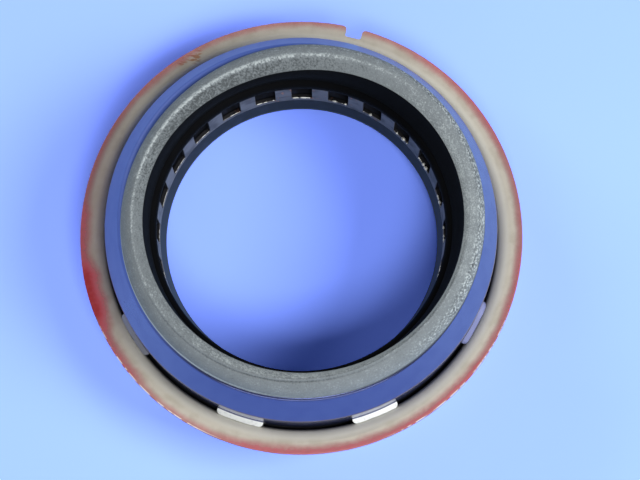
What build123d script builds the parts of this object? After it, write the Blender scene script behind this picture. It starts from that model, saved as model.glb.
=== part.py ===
"""Flanged radial shaft seal with a steel dust shield and a rubber nose ring.

The seal stands on the foot of its case with its axis on Z. Lengths are in millimetres and angles in
degrees. The origin is the centre of the foot: the oil side is down, and the air side is up.
"""

from build123d import *
from math import cos, degrees, hypot, radians, sin, tan
import os

# Shaft that the seal fits, and the width of its section
shaft_diameter = 60.0
section_width = 14.0  # from the shaft out to the bore of the housing

# Outer case: a pressed cup with a flange turned out at its mouth
case_sheet = 1.4
case_depth = 13.1  # foot of the case to the underside of the flange
flange_width = 4.0  # from the wall out to the rim
flange_roll = 3.0  # radius of the corner from the flange down into the mouth
foot_corner = 2.4  # outside radius at the foot
floor_clearance = 0.75  # from the spring out to the hole in the floor
notch_width = 3.6
notch_depth = 2.3
notch_corner = 0.5
notch_flare = 0.7  # radius of its mouth in the rim
notch_angle = 75.7  # from +X

# Inner case: the carrier of the lip, a ring pressed into the outer case
carrier_sheet = 1.0
carrier_drop = 3.9  # its web below the top of the flange
carrier_corner = 1.2  # outside radius
carrier_clearance = 2.0  # from the sleeve out to the hole in the web

# Seal lip and its spring
lip_land = 0.8  # height of the band that runs on the shaft
lip_reach = 3.0  # from the root of the lip down to the band
lip_thickness = 2.25  # from the shaft out to the spring
hook_thickness = 0.55  # rubber under the spring
hook_corner = 0.4
groove_wrap = 0.6  # how far the rubber reaches past the centre of the spring
bond_width = 2.8  # rubber bonded over the edge of the web
bond_layer = 0.8
coil_diameter = 2.5

# Slotted sleeve
sleeve_sheet = 1.0
sleeve_clearance = 1.0  # over the shaft
sleeve_height = 10.8
sleeve_corner = 1.5  # outside radius under its top flange
window_count = 24
window_width = 4.6
window_height = 7.1
window_sill = 1.5  # above the foot of the sleeve

# Dust shield
shield_sheet = 1.0
shield_rise = 14.4  # above the top of the flange
shield_gap = 0.7  # from the skirt out to the wall of the case
shield_margin = 0.4  # from the nose ring out to the edge of the cone
cone_height = 7.3
crown_bend = 1.4  # outside radius between the top flange and the cone
skirt_bend = 2.4  # outside radius between the cone and the skirt
tab_count = 9
tab_width = 10.2
tab_slit = 0.4  # cut beside each tab
tab_flare = 64.0  # from the skirt
tab_bend = 1.0  # inside radius
tab_corner = 0.9
tab_angle = 12.0  # middle of the first tab, from +X

# Nose ring and its liner
nose_clearance = 2.9  # over the shaft, at the mouth of the ring
nose_width = 5.0
nose_mouth = 2.1  # inner edge above the shield
nose_crest = 4.1  # crest above the shield
nose_edge = 0.9  # outer edge above the shield
nose_bulge = 0.45  # how far the outer slope stands out from a straight cone
mouth_bulge = 0.15  # the same for the inner slope
crest_offset = 2.3  # from the inner edge out to the crest
crease_place = 0.12  # along the outer slope, from the crest
crease_radius = 0.14
liner_clearance = 2.2  # over the shaft, at the foot of the liner
liner_wall = 2.2

# Radii, from the shaft outwards
shaft_radius = shaft_diameter / 2
coil_radius = coil_diameter / 2
spring_radius = shaft_radius + lip_thickness + coil_radius
lip_outer = spring_radius + groove_wrap
floor_inner = spring_radius + coil_radius + floor_clearance
sleeve_inner = shaft_radius + sleeve_clearance
sleeve_outer = sleeve_inner + sleeve_sheet
web_inner = sleeve_outer + carrier_clearance
bond_outer = web_inner + bond_width
liner_inner = shaft_radius + liner_clearance
liner_outer = liner_inner + liner_wall
nose_inner = shaft_radius + nose_clearance
nose_outer = nose_inner + nose_width
crest_radius = nose_inner + crest_offset

# Radii, from the housing inwards
case_outer = shaft_radius + section_width
case_inner = case_outer - case_sheet
rim_radius = case_outer + flange_width
skirt_outer = case_inner - shield_gap
skirt_middle = skirt_outer - shield_sheet / 2

# Heights over the foot of the case
flange_top = case_depth + case_sheet
web_top = flange_top - carrier_drop
web_foot = web_top - carrier_sheet
land_top = web_top - lip_reach
land_foot = land_top - lip_land
spring_height = (land_top + land_foot) / 2
hook_foot = spring_height - coil_radius - hook_thickness
sleeve_top = web_top + sleeve_height
window_middle = web_top + window_sill + window_height / 2
shield_top = flange_top + shield_rise
cone_foot = shield_top - cone_height

# A tab's tip rests on the rolled corner of the case, square to it
roll_radius = case_inner + flange_roll
roll_height = flange_top - flange_roll
tip_radius = roll_radius - flange_roll * sin(radians(tab_flare))
tip_height = roll_height + flange_roll * cos(radians(tab_flare))
knee_height = tip_height + (tip_radius - skirt_middle) / tan(radians(tab_flare))
knee_radius = tab_bend + shield_sheet / 2
tab_root = knee_height + knee_radius * tan(radians(tab_flare) / 2)
tab_arc = degrees(tab_width / skirt_outer)
slot_arc = degrees((tab_width + 2 * tab_slit) / skirt_outer)
tab_angles = [tab_angle + 360 / tab_count * tab for tab in range(tab_count)]
window_angles = [360 / window_count * window for window in range(window_count)]

os.makedirs("parts", exist_ok=True)

# Outer case: floor, wall, rolled mouth and flange, with one notch in the rim
with BuildPart() as outer_case:
    with BuildSketch(Plane.XZ):
        with BuildLine():
            FilletPolyline(
                (floor_inner, case_sheet / 2),
                (case_outer - case_sheet / 2, case_sheet / 2),
                (case_outer - case_sheet / 2, flange_top - case_sheet / 2),
                (rim_radius, flange_top - case_sheet / 2),
                radius=[foot_corner - case_sheet / 2, flange_roll - case_sheet / 2],
            )
        trace(line_width=case_sheet)
    revolve(axis=Axis.Z)
    with BuildSketch(Plane.XY.offset(flange_top)):
        with PolarLocations(rim_radius, 1, start_angle=notch_angle):
            RectangleRounded(2 * notch_depth, notch_width, notch_corner)
    extrude(amount=-2 * case_sheet, mode=Mode.SUBTRACT)
    upright = outer_case.edges().filter_by(Axis.Z)
    fillet(upright.group_by(lambda edge: hypot(edge.center().X, edge.center().Y))[-1], radius=notch_flare)
outer_case.part.label = "outer_case"

# Inner case: a wall against the outer case and a web that reaches in to the lip
with BuildPart() as inner_case:
    with BuildSketch(Plane.XZ):
        with BuildLine():
            FilletPolyline(
                (web_inner, web_top - carrier_sheet / 2),
                (case_inner - carrier_sheet / 2, web_top - carrier_sheet / 2),
                (case_inner - carrier_sheet / 2, foot_corner),
                radius=carrier_corner - carrier_sheet / 2,
            )
        trace(line_width=carrier_sheet)
    revolve(axis=Axis.Z)
inner_case.part.label = "inner_case"

# Seal lip: rubber moulded over the edge of the web, with a seat for the sleeve on top,
# a band that runs on the shaft, and a groove for the spring behind the band
with BuildPart() as seal_lip:
    with BuildSketch(Plane.XZ) as lip_section:
        with BuildLine():
            Polyline(
                (sleeve_inner, web_top),
                (sleeve_outer, web_top),
                (sleeve_outer, web_top + bond_layer),
                (bond_outer, web_top + bond_layer),
                (bond_outer, web_top),
                (web_inner, web_top),
                (web_inner, web_foot),
                (bond_outer, web_foot),
                (bond_outer, web_foot - bond_layer),
                (lip_outer, web_foot - bond_layer),
                (lip_outer, hook_foot),
                (shaft_radius + land_foot - hook_foot, hook_foot),
                (shaft_radius, land_foot),
                (shaft_radius, land_top),
                close=True,
            )
        make_face()
        hook = lip_section.vertices().sort_by_distance((lip_outer, hook_foot))[0]
        fillet(hook, radius=hook_corner)
        with Locations((spring_radius, spring_height)):
            Circle(coil_radius, mode=Mode.SUBTRACT)
    revolve(axis=Axis.Z)
seal_lip.part.label = "seal_lip"

# Garter spring: the outer form of its closed coil
with BuildPart() as garter_spring:
    with BuildSketch(Plane.XZ):
        with Locations((spring_radius, spring_height)):
            Circle(coil_radius)
    revolve(axis=Axis.Z)
garter_spring.part.label = "garter_spring"

# Slotted sleeve: stands on the lip's seat and carries the foot of the liner on its top flange
with BuildPart() as slotted_sleeve:
    with BuildSketch(Plane.XZ):
        with BuildLine():
            FilletPolyline(
                (sleeve_inner + sleeve_sheet / 2, web_top),
                (sleeve_inner + sleeve_sheet / 2, sleeve_top - sleeve_sheet / 2),
                (liner_outer, sleeve_top - sleeve_sheet / 2),
                radius=sleeve_corner - sleeve_sheet / 2,
            )
        trace(line_width=sleeve_sheet)
    revolve(axis=Axis.Z)
    with BuildSketch(*[Plane.YZ.rotated((0, 0, angle)) for angle in window_angles]):
        with Locations((0, window_middle)):
            Rectangle(window_width, window_height)
    extrude(amount=liner_outer, mode=Mode.SUBTRACT)
slotted_sleeve.part.label = "slotted_sleeve"

# Dust shield: top flange, cone and skirt drawn from one sheet. The skirt stands on the web of the
# inner case, and the tabs cut from its foot are bent out onto the rolled mouth of the outer case
with BuildPart() as dust_shield:
    with BuildSketch(Plane.XZ):
        with BuildLine():
            FilletPolyline(
                (liner_outer, shield_top - shield_sheet / 2),
                (nose_outer + shield_margin - shield_sheet / 2, shield_top - shield_sheet / 2),
                (skirt_middle, cone_foot),
                (skirt_middle, web_top),
                radius=[crown_bend - shield_sheet / 2, skirt_bend - shield_sheet / 2],
            )
        trace(line_width=shield_sheet)
    revolve(axis=Axis.Z)
    with BuildSketch(*[Plane.XZ.rotated((0, 0, angle - slot_arc / 2)) for angle in tab_angles]):
        with Locations((skirt_middle, web_top)):
            Rectangle(2 * shield_sheet, 2 * (tab_root - web_top))
    revolve(axis=Axis.Z, revolution_arc=slot_arc, mode=Mode.SUBTRACT)
    with BuildSketch(*[Plane.XZ.rotated((0, 0, angle - tab_arc / 2)) for angle in tab_angles]):
        with BuildLine():
            FilletPolyline(
                (skirt_middle, tab_root + shield_sheet),
                (skirt_middle, knee_height),
                (tip_radius, tip_height),
                radius=knee_radius,
            )
        trace(line_width=shield_sheet)
    revolve(axis=Axis.Z, revolution_arc=tab_arc)
    tip_corners = dust_shield.edges().filter_by(GeomType.LINE).filter_by(
        lambda edge: abs(hypot(edge.center().X, edge.center().Y) - tip_radius) < shield_sheet / 100
    )
    fillet(tip_corners, radius=tab_corner)
dust_shield.part.label = "dust_shield"

# Nose ring: a ridge with a fine crease beside its crest, moulded on the shield, and a liner down the bore
with BuildPart() as nose_ring:
    with BuildSketch(Plane.XZ):
        with BuildLine():
            Polyline(
                (nose_inner, shield_top + nose_mouth),
                (liner_inner, sleeve_top),
                (liner_outer, sleeve_top),
                (liner_outer, shield_top),
                (nose_outer, shield_top),
                (nose_outer, shield_top + nose_edge),
            )
            outer_slope = SagittaArc(
                (crest_radius, shield_top + nose_crest), (nose_outer, shield_top + nose_edge), nose_bulge
            )
            SagittaArc(
                (nose_inner, shield_top + nose_mouth), (crest_radius, shield_top + nose_crest), mouth_bulge
            )
        make_face()
        with Locations(outer_slope @ crease_place):
            Circle(crease_radius, mode=Mode.SUBTRACT)
    revolve(axis=Axis.Z)
nose_ring.part.label = "nose_ring"

for piece in (outer_case, inner_case, seal_lip, garter_spring, slotted_sleeve, dust_shield, nose_ring):
    export_step(piece.part, f"parts/{piece.part.label}.step")
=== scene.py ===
"""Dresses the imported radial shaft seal: finishes, fine relief, table, lamps and camera.

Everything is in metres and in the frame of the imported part: the seal stands on the foot of its case
with its axis on Z, the oil side down and the air side up. Azimuths are in degrees, from +X towards +Y.
"""

import logging
from collections.abc import Callable
from dataclasses import dataclass
from enum import Enum, IntEnum
from math import cos, degrees, exp, pi, radians, sin, sqrt, tan

import bpy
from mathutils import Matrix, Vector, noise


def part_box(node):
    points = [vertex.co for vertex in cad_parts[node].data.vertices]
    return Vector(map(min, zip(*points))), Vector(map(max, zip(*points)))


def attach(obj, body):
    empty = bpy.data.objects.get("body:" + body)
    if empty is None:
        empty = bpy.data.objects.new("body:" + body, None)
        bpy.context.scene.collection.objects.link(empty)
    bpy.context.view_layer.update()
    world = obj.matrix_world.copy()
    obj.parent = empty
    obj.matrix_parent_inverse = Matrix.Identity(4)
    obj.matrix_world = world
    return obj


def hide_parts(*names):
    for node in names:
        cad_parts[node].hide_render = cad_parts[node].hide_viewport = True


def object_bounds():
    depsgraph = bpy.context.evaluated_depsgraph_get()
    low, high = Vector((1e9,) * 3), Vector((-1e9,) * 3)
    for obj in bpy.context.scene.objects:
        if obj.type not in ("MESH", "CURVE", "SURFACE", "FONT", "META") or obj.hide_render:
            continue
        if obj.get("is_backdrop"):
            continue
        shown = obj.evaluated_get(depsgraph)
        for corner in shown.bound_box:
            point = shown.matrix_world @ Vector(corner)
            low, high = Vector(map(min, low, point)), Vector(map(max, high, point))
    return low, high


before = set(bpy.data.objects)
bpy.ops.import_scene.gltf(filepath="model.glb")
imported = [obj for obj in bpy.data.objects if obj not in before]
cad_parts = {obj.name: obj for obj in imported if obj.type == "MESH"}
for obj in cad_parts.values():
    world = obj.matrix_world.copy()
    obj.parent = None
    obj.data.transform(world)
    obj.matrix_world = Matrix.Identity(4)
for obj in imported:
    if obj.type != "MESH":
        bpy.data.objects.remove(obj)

MM = 0.001
MIX_FIRST, MIX_SECOND, MIX_RESULT = 6, 7, 2  # the colour sockets of a Mix node
BEVEL_STEPS = 2
SHARP_ANGLE = radians(40)
Colour = tuple[float, float, float, float]
Point = tuple[float, float]
Span = tuple[float, float]

log = logging.getLogger("seal")


def shade(red: int, green: int, blue: int) -> Colour:
    """Turns a colour as a screen shows it into the linear colour of a shader, by the sRGB curve.

    Args:
        red, green, blue: the screen values, from 0 to 255.

    Returns:
        The linear colour, with a full alpha.
    """
    linear = [
        part / 12.92 if part <= 0.04045 else ((part + 0.055) / 1.055) ** 2.4
        for part in (red / 255, green / 255, blue / 255)
    ]
    return (*linear, 1.0)


def ramp(value: float, low: float, high: float) -> float:
    """Rises smoothly from 0 at one value to 1 at another.

    Args:
        value: the value that is looked at.
        low: where the result is 0.
        high: where the result is 1. It may be below low.

    Returns:
        A number from 0 to 1.
    """
    step = min(1.0, max(0.0, (value - low) / (high - low)))
    return step * step * (3 - 2 * step)


def apart(azimuth: float, middle: float) -> float:
    """Gives the angle from the middle to the azimuth, the shorter way round, from -180 to 180."""
    return (azimuth - middle + 180) % 360 - 180


def swell(azimuth: float, middle: float, spread: float) -> float:
    """Gives a smooth hill round the seal.

    Args:
        azimuth: the azimuth that is looked at.
        middle: the azimuth of the top of the hill.
        spread: the angle at which the hill has fallen to about a third.

    Returns:
        A number from 0 to 1.
    """
    return exp(-((apart(azimuth, middle) / spread) ** 2))


def inset(corner: float, left: float) -> float:
    """Says how far a rounded corner draws an edge in.

    Args:
        corner: the radius of the corner.
        left: how far away the end of the edge is.

    Returns:
        The distance.
    """
    short = max(0.0, corner - left)
    return corner - sqrt(corner**2 - short**2)


@dataclass(frozen=True)
class Patch:
    """A stretch of the turn over which something rises and falls smoothly.

    Attributes:
        azimuth, spread: where its middle lies, and how far it reaches to each side.
        amount: its height in the middle.
    """

    azimuth: float
    spread: float
    amount: float = 1.0

    def at(self, azimuth: float) -> float:
        """Gives its height at an azimuth."""
        return self.amount * swell(azimuth, self.azimuth, self.spread)


@dataclass(frozen=True)
class Ripple:
    """A smooth noise in space.

    Attributes:
        size: the size of its spots.
        depth: how far it swings to each side.
    """

    size: float
    depth: float = 1.0

    def at(self, place: Vector) -> float:
        """Gives its value at a point."""
        return self.depth * noise.noise(place / self.size)


class Signal:
    """A number socket of a shader, so that shader maths reads as plain expressions."""

    def __init__(self, bench: "Bench", socket: bpy.types.NodeSocket) -> None:
        """Wraps one socket of a bench."""
        self.bench = bench
        self.socket = socket

    def maths(self, operation: str, *values: object) -> "Signal":
        """Adds a Math node.

        Args:
            operation: the name of its operation.
            values: numbers or signals for its sockets, in their order.

        Returns:
            The node's result.
        """
        node = self.bench.node("ShaderNodeMath", {"operation": operation}, dict(enumerate(values)))
        return Signal(self.bench, node.outputs[0])

    def __add__(self, other: object) -> "Signal":
        """Gives signal + other."""
        return self.maths("ADD", self, other)

    def __radd__(self, other: object) -> "Signal":
        """Gives other + signal."""
        return self.maths("ADD", other, self)

    def __sub__(self, other: object) -> "Signal":
        """Gives signal - other."""
        return self.maths("SUBTRACT", self, other)

    def __rsub__(self, other: object) -> "Signal":
        """Gives other - signal."""
        return self.maths("SUBTRACT", other, self)

    def __mul__(self, other: object) -> "Signal":
        """Gives signal * other."""
        return self.maths("MULTIPLY", self, other)

    def __rmul__(self, other: object) -> "Signal":
        """Gives other * signal."""
        return self.maths("MULTIPLY", other, self)

    def __truediv__(self, other: object) -> "Signal":
        """Gives signal / other."""
        return self.maths("DIVIDE", self, other)

    def __pow__(self, other: object) -> "Signal":
        """Gives signal ** other."""
        return self.maths("POWER", self, other)

    def size(self) -> "Signal":
        """Gives the signal without its sign."""
        return self.maths("ABSOLUTE", self)

    def larger(self, other: object) -> "Signal":
        """Gives the larger of signal and other."""
        return self.maths("MAXIMUM", self, other)

    def smaller(self, other: object) -> "Signal":
        """Gives the smaller of signal and other."""
        return self.maths("MINIMUM", self, other)

    def swing(self, amount: float) -> "Signal":
        """Gives how far the signal lies from its middle value of 0.5, times an amount."""
        return (self - 0.5) * amount

    def ramp(self, low: float, high: float) -> "Signal":
        """Rises smoothly from 0 at one value to 1 at another.

        Args:
            low: where the result is 0.
            high: where the result is 1. It may be below low.

        Returns:
            A signal from 0 to 1.
        """
        ends = (low, high, 0.0, 1.0) if low < high else (high, low, 1.0, 0.0)
        settings = {"interpolation_type": "SMOOTHSTEP"}
        node = self.bench.node("ShaderNodeMapRange", settings, {0: self, **dict(enumerate(ends, 1))})
        return Signal(self.bench, node.outputs[0])


class Tree:
    """The node tree of a material or a world, and the ways in which nodes are put on it."""

    def __init__(self, owner: bpy.types.Material | bpy.types.World) -> None:
        """Empties the tree of its owner.

        Args:
            owner: the material or the world.
        """
        owner.use_nodes = True
        self.tree = owner.node_tree
        self.tree.nodes.clear()

    def node(
        self,
        kind: str,
        settings: dict[str, object] | None = None,
        inputs: dict[str | int, object] | None = None,
    ) -> bpy.types.Node:
        """Adds any node.

        Args:
            kind: the type of the node.
            settings: its own settings, which are set first.
            inputs: numbers, colours, signals or sockets for its sockets, by name or place.

        Returns:
            The node.
        """
        node = self.tree.nodes.new(kind)
        for name, value in (settings or {}).items():
            setattr(node, name, value)
        for key, value in (inputs or {}).items():
            value = value.socket if isinstance(value, Signal) else value
            if isinstance(value, bpy.types.NodeSocket):
                self.tree.links.new(value, node.inputs[key])
            else:
                node.inputs[key].default_value = value
        return node

    def blend(self, factor: object, first: object, second: object) -> bpy.types.NodeSocket:
        """Mixes two shaders.

        Args:
            factor: how much of the second shader shows, from 0 to 1.
            first: the shader at 0.
            second: the shader at 1.

        Returns:
            The mixed shader.
        """
        return self.node("ShaderNodeMixShader", {}, {0: factor, 1: first, 2: second}).outputs[0]


class Bench(Tree):
    """The bench on which one material is made, with the place on the piece as signals."""

    def __init__(self, name: str) -> None:
        """Starts an empty material.

        Args:
            name: its name.
        """
        self.material = bpy.data.materials.new(name)
        super().__init__(self.material)
        self.position = self.node("ShaderNodeTexCoord").outputs["Object"]
        axes = self.node("ShaderNodeSeparateXYZ", {}, {0: self.position}).outputs
        self.x, self.y, self.height = (Signal(self, axis) for axis in axes)
        self.radius = (self.x * self.x + self.y * self.y) ** 0.5

    def mix(self, factor: object, first: object, second: object) -> bpy.types.NodeSocket:
        """Mixes two colours.

        Args:
            factor: how much of the second colour shows, from 0 to 1.
            first: the colour at 0.
            second: the colour at 1.

        Returns:
            The mixed colour.
        """
        inputs = {0: factor, MIX_FIRST: first, MIX_SECOND: second}
        return self.node("ShaderNodeMix", {"data_type": "RGBA"}, inputs).outputs[MIX_RESULT]

    def grain(self, size: float, detail: float = 2.0, vector: bpy.types.NodeSocket | None = None) -> Signal:
        """Gives a cloudy noise.

        Args:
            size: the size of its spots, in the units of the vector.
            detail: how many finer layers it has.
            vector: where it is looked up, or None for the place on the piece.

        Returns:
            A signal from 0 to 1.
        """
        inputs = {"Vector": vector or self.position, "Scale": 1 / size, "Detail": detail}
        return Signal(self, self.node("ShaderNodeTexNoise", {}, inputs).outputs[0])

    def round_marks(self, length: float, width: float) -> Signal:
        """Gives fine marks that run round the axis.

        Args:
            length: their length along the turn, in radians.
            width: their width across it, in metres.

        Returns:
            A signal from 0 to 1.
        """
        across = (self.radius + self.height) * (length / width)
        inputs = {0: self.x / self.radius, 1: self.y / self.radius, 2: across}
        vector = self.node("ShaderNodeCombineXYZ", {}, inputs).outputs[0]
        return self.grain(length, detail=3.0, vector=vector)

    def spot(self, place: Vector, size: float, core: float = 0.2) -> Signal:
        """Gives a soft spot on the piece.

        Args:
            place: its middle.
            size: its radius.
            core: the share of that radius within which it is full.

        Returns:
            A signal that is 1 in the middle and 0 outside.
        """
        offset = self.node("ShaderNodeVectorMath", {"operation": "DISTANCE"}, {0: self.position, 1: place})
        return Signal(self, offset.outputs["Value"]).ramp(size, size * core)

    def attribute(self, name: str) -> Signal:
        """Reads a number that the mesh carries under that name."""
        return Signal(self, self.node("ShaderNodeAttribute", {"attribute_name": name}).outputs["Fac"])

    def bump(self, height: Signal, depth: float) -> bpy.types.NodeSocket:
        """Turns a height into a bent normal.

        Args:
            height: the height, from 0 to 1.
            depth: how far a height of 1 stands out, in metres.

        Returns:
            The normal.
        """
        return self.node("ShaderNodeBump", {}, {"Distance": depth, "Height": height}).outputs[0]

    def close(self, inputs: dict[str | int, object]) -> bpy.types.Material:
        """Ends the tree with a Principled shader.

        Args:
            inputs: values or links for its sockets, by name.

        Returns:
            The finished material.
        """
        shader = self.node("ShaderNodeBsdfPrincipled", {}, inputs)
        self.node("ShaderNodeOutputMaterial", {}, {0: shader.outputs[0]})
        return self.material


@dataclass(frozen=True)
class RimChipGlints:
    """The small chips that bare the edge of the rim on both sides of -Y, whose bright steel paints the
    highlights on that edge.

    Attributes:
        radius, height: from where to where they grow, out to the rim and up to the face.
        side: the same round the turn towards -Y, as |x| - y over the radius.
        size, cut: the size of a chip, and the levels of its noise between which it shows.
    """

    radius: Span = (47.72 * MM, 47.92 * MM)
    height: Span = (13.9 * MM, 14.2 * MM)
    side: Span = (1.25, 1.38)
    size: float = 1.4 * MM
    cut: Span = (0.42, 0.56)

    def bare(self, bench: Bench) -> Signal:
        """Says where the edge is bare.

        Args:
            bench: the bench of the finish.

        Returns:
            A signal from 0 to 1.
        """
        edge = bench.radius.ramp(*self.radius) * bench.height.ramp(*self.height)
        side = ((bench.x.size() - bench.y) / bench.radius).ramp(*self.side)
        return bench.grain(self.size).ramp(*self.cut) * edge * side


@dataclass(frozen=True)
class PressedSteel:
    """Sheet steel as it comes from the press: a base tone, cloudy marks and fine draw lines.

    Attributes:
        name: the name of the material.
        tone: its usual colour.
        cloud: the colour of its cloudy marks.
        metallic: how far it looks like bare metal.
        roughness: how blurred its reflections are.
        marks: how deep its draw lines are.
        cloud_size, cloud_cut: the size of the clouds, and the levels between which they show.
        line_length, line_width: the length of a draw line in radians, and its width.
        speck_size: the size of the finest specks.
        cloud_blur, line_blur: how far the clouds and the lines change the roughness.
        line_share, speck_share: how much of the marks' height each makes.
    """

    name: str
    tone: Colour
    cloud: Colour
    metallic: float
    roughness: float
    marks: float = 6e-6
    cloud_size: float = 3.2 * MM
    cloud_cut: Span = (0.42, 0.66)
    line_length: float = 0.35
    line_width: float = 0.22 * MM
    speck_size: float = 0.35 * MM
    cloud_blur: float = 0.12
    line_blur: float = 0.10
    line_share: float = 0.7
    speck_share: float = 0.3

    def start(self) -> tuple[Bench, bpy.types.NodeSocket, Signal, Signal]:
        """Lays out the colour and the marks, for a finish to add to.

        Returns:
            The bench, the colour, the roughness and the height of the marks.
        """
        bench = Bench(self.name)
        clouds = bench.grain(self.cloud_size, detail=4.0)
        lines = bench.round_marks(self.line_length, self.line_width)
        specks = bench.grain(self.speck_size)
        colour = bench.mix(clouds.ramp(*self.cloud_cut), self.tone, self.cloud)
        roughness = self.roughness + clouds.swing(self.cloud_blur) + lines.swing(self.line_blur)
        return bench, colour, roughness, lines * self.line_share + specks * self.speck_share

    def make(self) -> bpy.types.Material:
        """Makes the plain finish.

        Returns:
            The material.
        """
        bench, colour, roughness, height = self.start()
        return bench.close({
            "Base Color": colour,
            "Roughness": roughness,
            "Metallic": self.metallic,
            "Normal": bench.bump(height, self.marks),
        })


@dataclass(frozen=True)
class CaseSteel(PressedSteel):
    """The dry, grey-tan steel of the case, with one rusty scuff on its face, wet with oil in its mouth.
    It carries painted light: a pale band on the roll of its mouth, and highlights on the chips of its rim.
    It carries painted shade: darker towards -X, where the nose shades the flange, and down into its mouth.

    A share says how far a colour covers what lies under it.

    Attributes:
        worn, roll_light_share: painted light, a pale band on the roll at the mouth.
        roll_light_radius, roll_light_x: from where to where it grows, inwards and along X; it stays off the
            shaded side at -X.
        stained, west_shade_share, west_shade_x: painted shade, darker and reddish towards -X, in the nose's
            shadow.
        grime, grime_share: the grime along the rim.
        grime_radius, grime_side: where it grows, outwards and towards X, as |x| over the radius.
        oily, oil_shade_share, oil_shade_height: a dark tone of oil in the mouth, which grows downwards; it
            also paints the shade down in that recess.
        oil_polish: how much smoother the oil makes it.
        outside_radius, outside_height: where the outside of the wall starts, which has no oil.
        rust, rust_cut: the scuff, and the levels between which it shows.
        scuffs: the azimuths and the radii in millimetres of the strokes that make it.
        scuff_size, scuff_share: the size and the strength of a stroke.
        face: the height of the face that they lie on.
        streak_turn, streak_scale: how the streaks in the scuff are turned and drawn out.
        streak_size, streak_cut: the size of the streaks, and the levels between which they show.
        bright: the bare steel where the edge of the rim is chipped, painted near white as a highlight.
    """

    roll_light: Colour = shade(214, 211, 196)
    roll_light_share: float = 0.8
    roll_light_radius: Span = (45.8 * MM, 44.4 * MM)
    roll_light_x: Span = (-46 * MM, -30 * MM)
    west_shade: Colour = shade(142, 128, 122)
    west_shade_share: float = 0.7
    west_shade_x: Span = (-34 * MM, -46 * MM)
    grime: Colour = shade(112, 104, 106)
    grime_share: float = 0.5
    grime_radius: Span = (45.9 * MM, 47.5 * MM)
    grime_side: Span = (0.62, 0.95)
    oil_shade_tone: Colour = shade(58, 56, 54)
    oil_shade_share: float = 0.9
    oil_shade_height: Span = (13.6 * MM, 12.2 * MM)
    oil_polish: float = 0.12
    outside_radius: Span = (43.0 * MM, 43.6 * MM)
    outside_height: Span = (11.4 * MM, 10.6 * MM)
    rust: Colour = shade(158, 118, 90)
    rust_cut: Span = (0.0, 0.7)
    scuffs: tuple[Point, ...] = ((119.5, 46.9), (122.0, 46.6), (124.5, 46.9), (121.0, 45.8))
    scuff_size: float = 1.6 * MM
    scuff_share: float = 0.6
    face: float = 14.5 * MM
    streak_turn: tuple[float, float, float] = (0.0, 0.0, radians(-50))
    streak_scale: tuple[float, float, float] = (0.25, 1.0, 1.0)
    streak_size: float = 0.5 * MM
    streak_cut: Span = (0.42, 0.58)
    bright: Colour = shade(236, 238, 244)

    def scuffed(self, bench: Bench) -> Signal:
        """Says where the face is scuffed.

        Args:
            bench: the bench of the finish.

        Returns:
            A signal from 0 to 1.
        """
        inputs = {"Vector": bench.position, "Rotation": self.streak_turn, "Scale": self.streak_scale}
        stroke = bench.node("ShaderNodeMapping", {}, inputs).outputs[0]
        streaks = bench.grain(self.streak_size, 3.0, stroke).ramp(*self.streak_cut)
        scuff = 0.0
        for azimuth, radius in self.scuffs:
            turn = radians(azimuth)
            place = Vector((radius * MM * cos(turn), radius * MM * sin(turn), self.face))
            scuff = bench.spot(place, self.scuff_size) * self.scuff_share + scuff
        return (scuff * streaks).ramp(*self.rust_cut)

    def make(self) -> bpy.types.Material:
        """Makes the finish of the case.

        Returns:
            The material.
        """
        bench, colour, roughness, height = self.start()
        # Painted light: a pale band on the roll of the mouth, kept off the shaded side at -X.
        roll_light = bench.radius.ramp(*self.roll_light_radius) * bench.x.ramp(*self.roll_light_x)
        colour = bench.mix(roll_light * self.roll_light_share, colour, self.roll_light)
        # Painted shade: darker towards -X, where the nose shades the flange.
        colour = bench.mix(bench.x.ramp(*self.west_shade_x) * self.west_shade_share, colour, self.west_shade)
        grimy = bench.radius.ramp(*self.grime_radius)
        grimy = grimy * (bench.x / bench.radius).size().ramp(*self.grime_side)
        colour = bench.mix(grimy * self.grime_share, colour, self.grime)
        # Oil, and painted shade darker down into the mouth, but not on the outside of the wall.
        outside = bench.radius.ramp(*self.outside_radius) * bench.height.ramp(*self.outside_height)
        mouth = bench.height.ramp(*self.oil_shade_height) * (1 - outside)
        colour = bench.mix(mouth * self.oil_shade_share, colour, self.oil_shade_tone)
        colour = bench.mix(self.scuffed(bench), colour, self.rust)
        # Painted highlights: bare bright steel on the rim's chips on both sides of -Y.
        colour = bench.mix(RimChipGlints().bare(bench), colour, self.bright)
        return bench.close({
            "Base Color": colour,
            "Roughness": roughness - mouth * self.oil_polish,
            "Metallic": self.metallic,
            "Normal": bench.bump(height, self.marks),
        })


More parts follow.
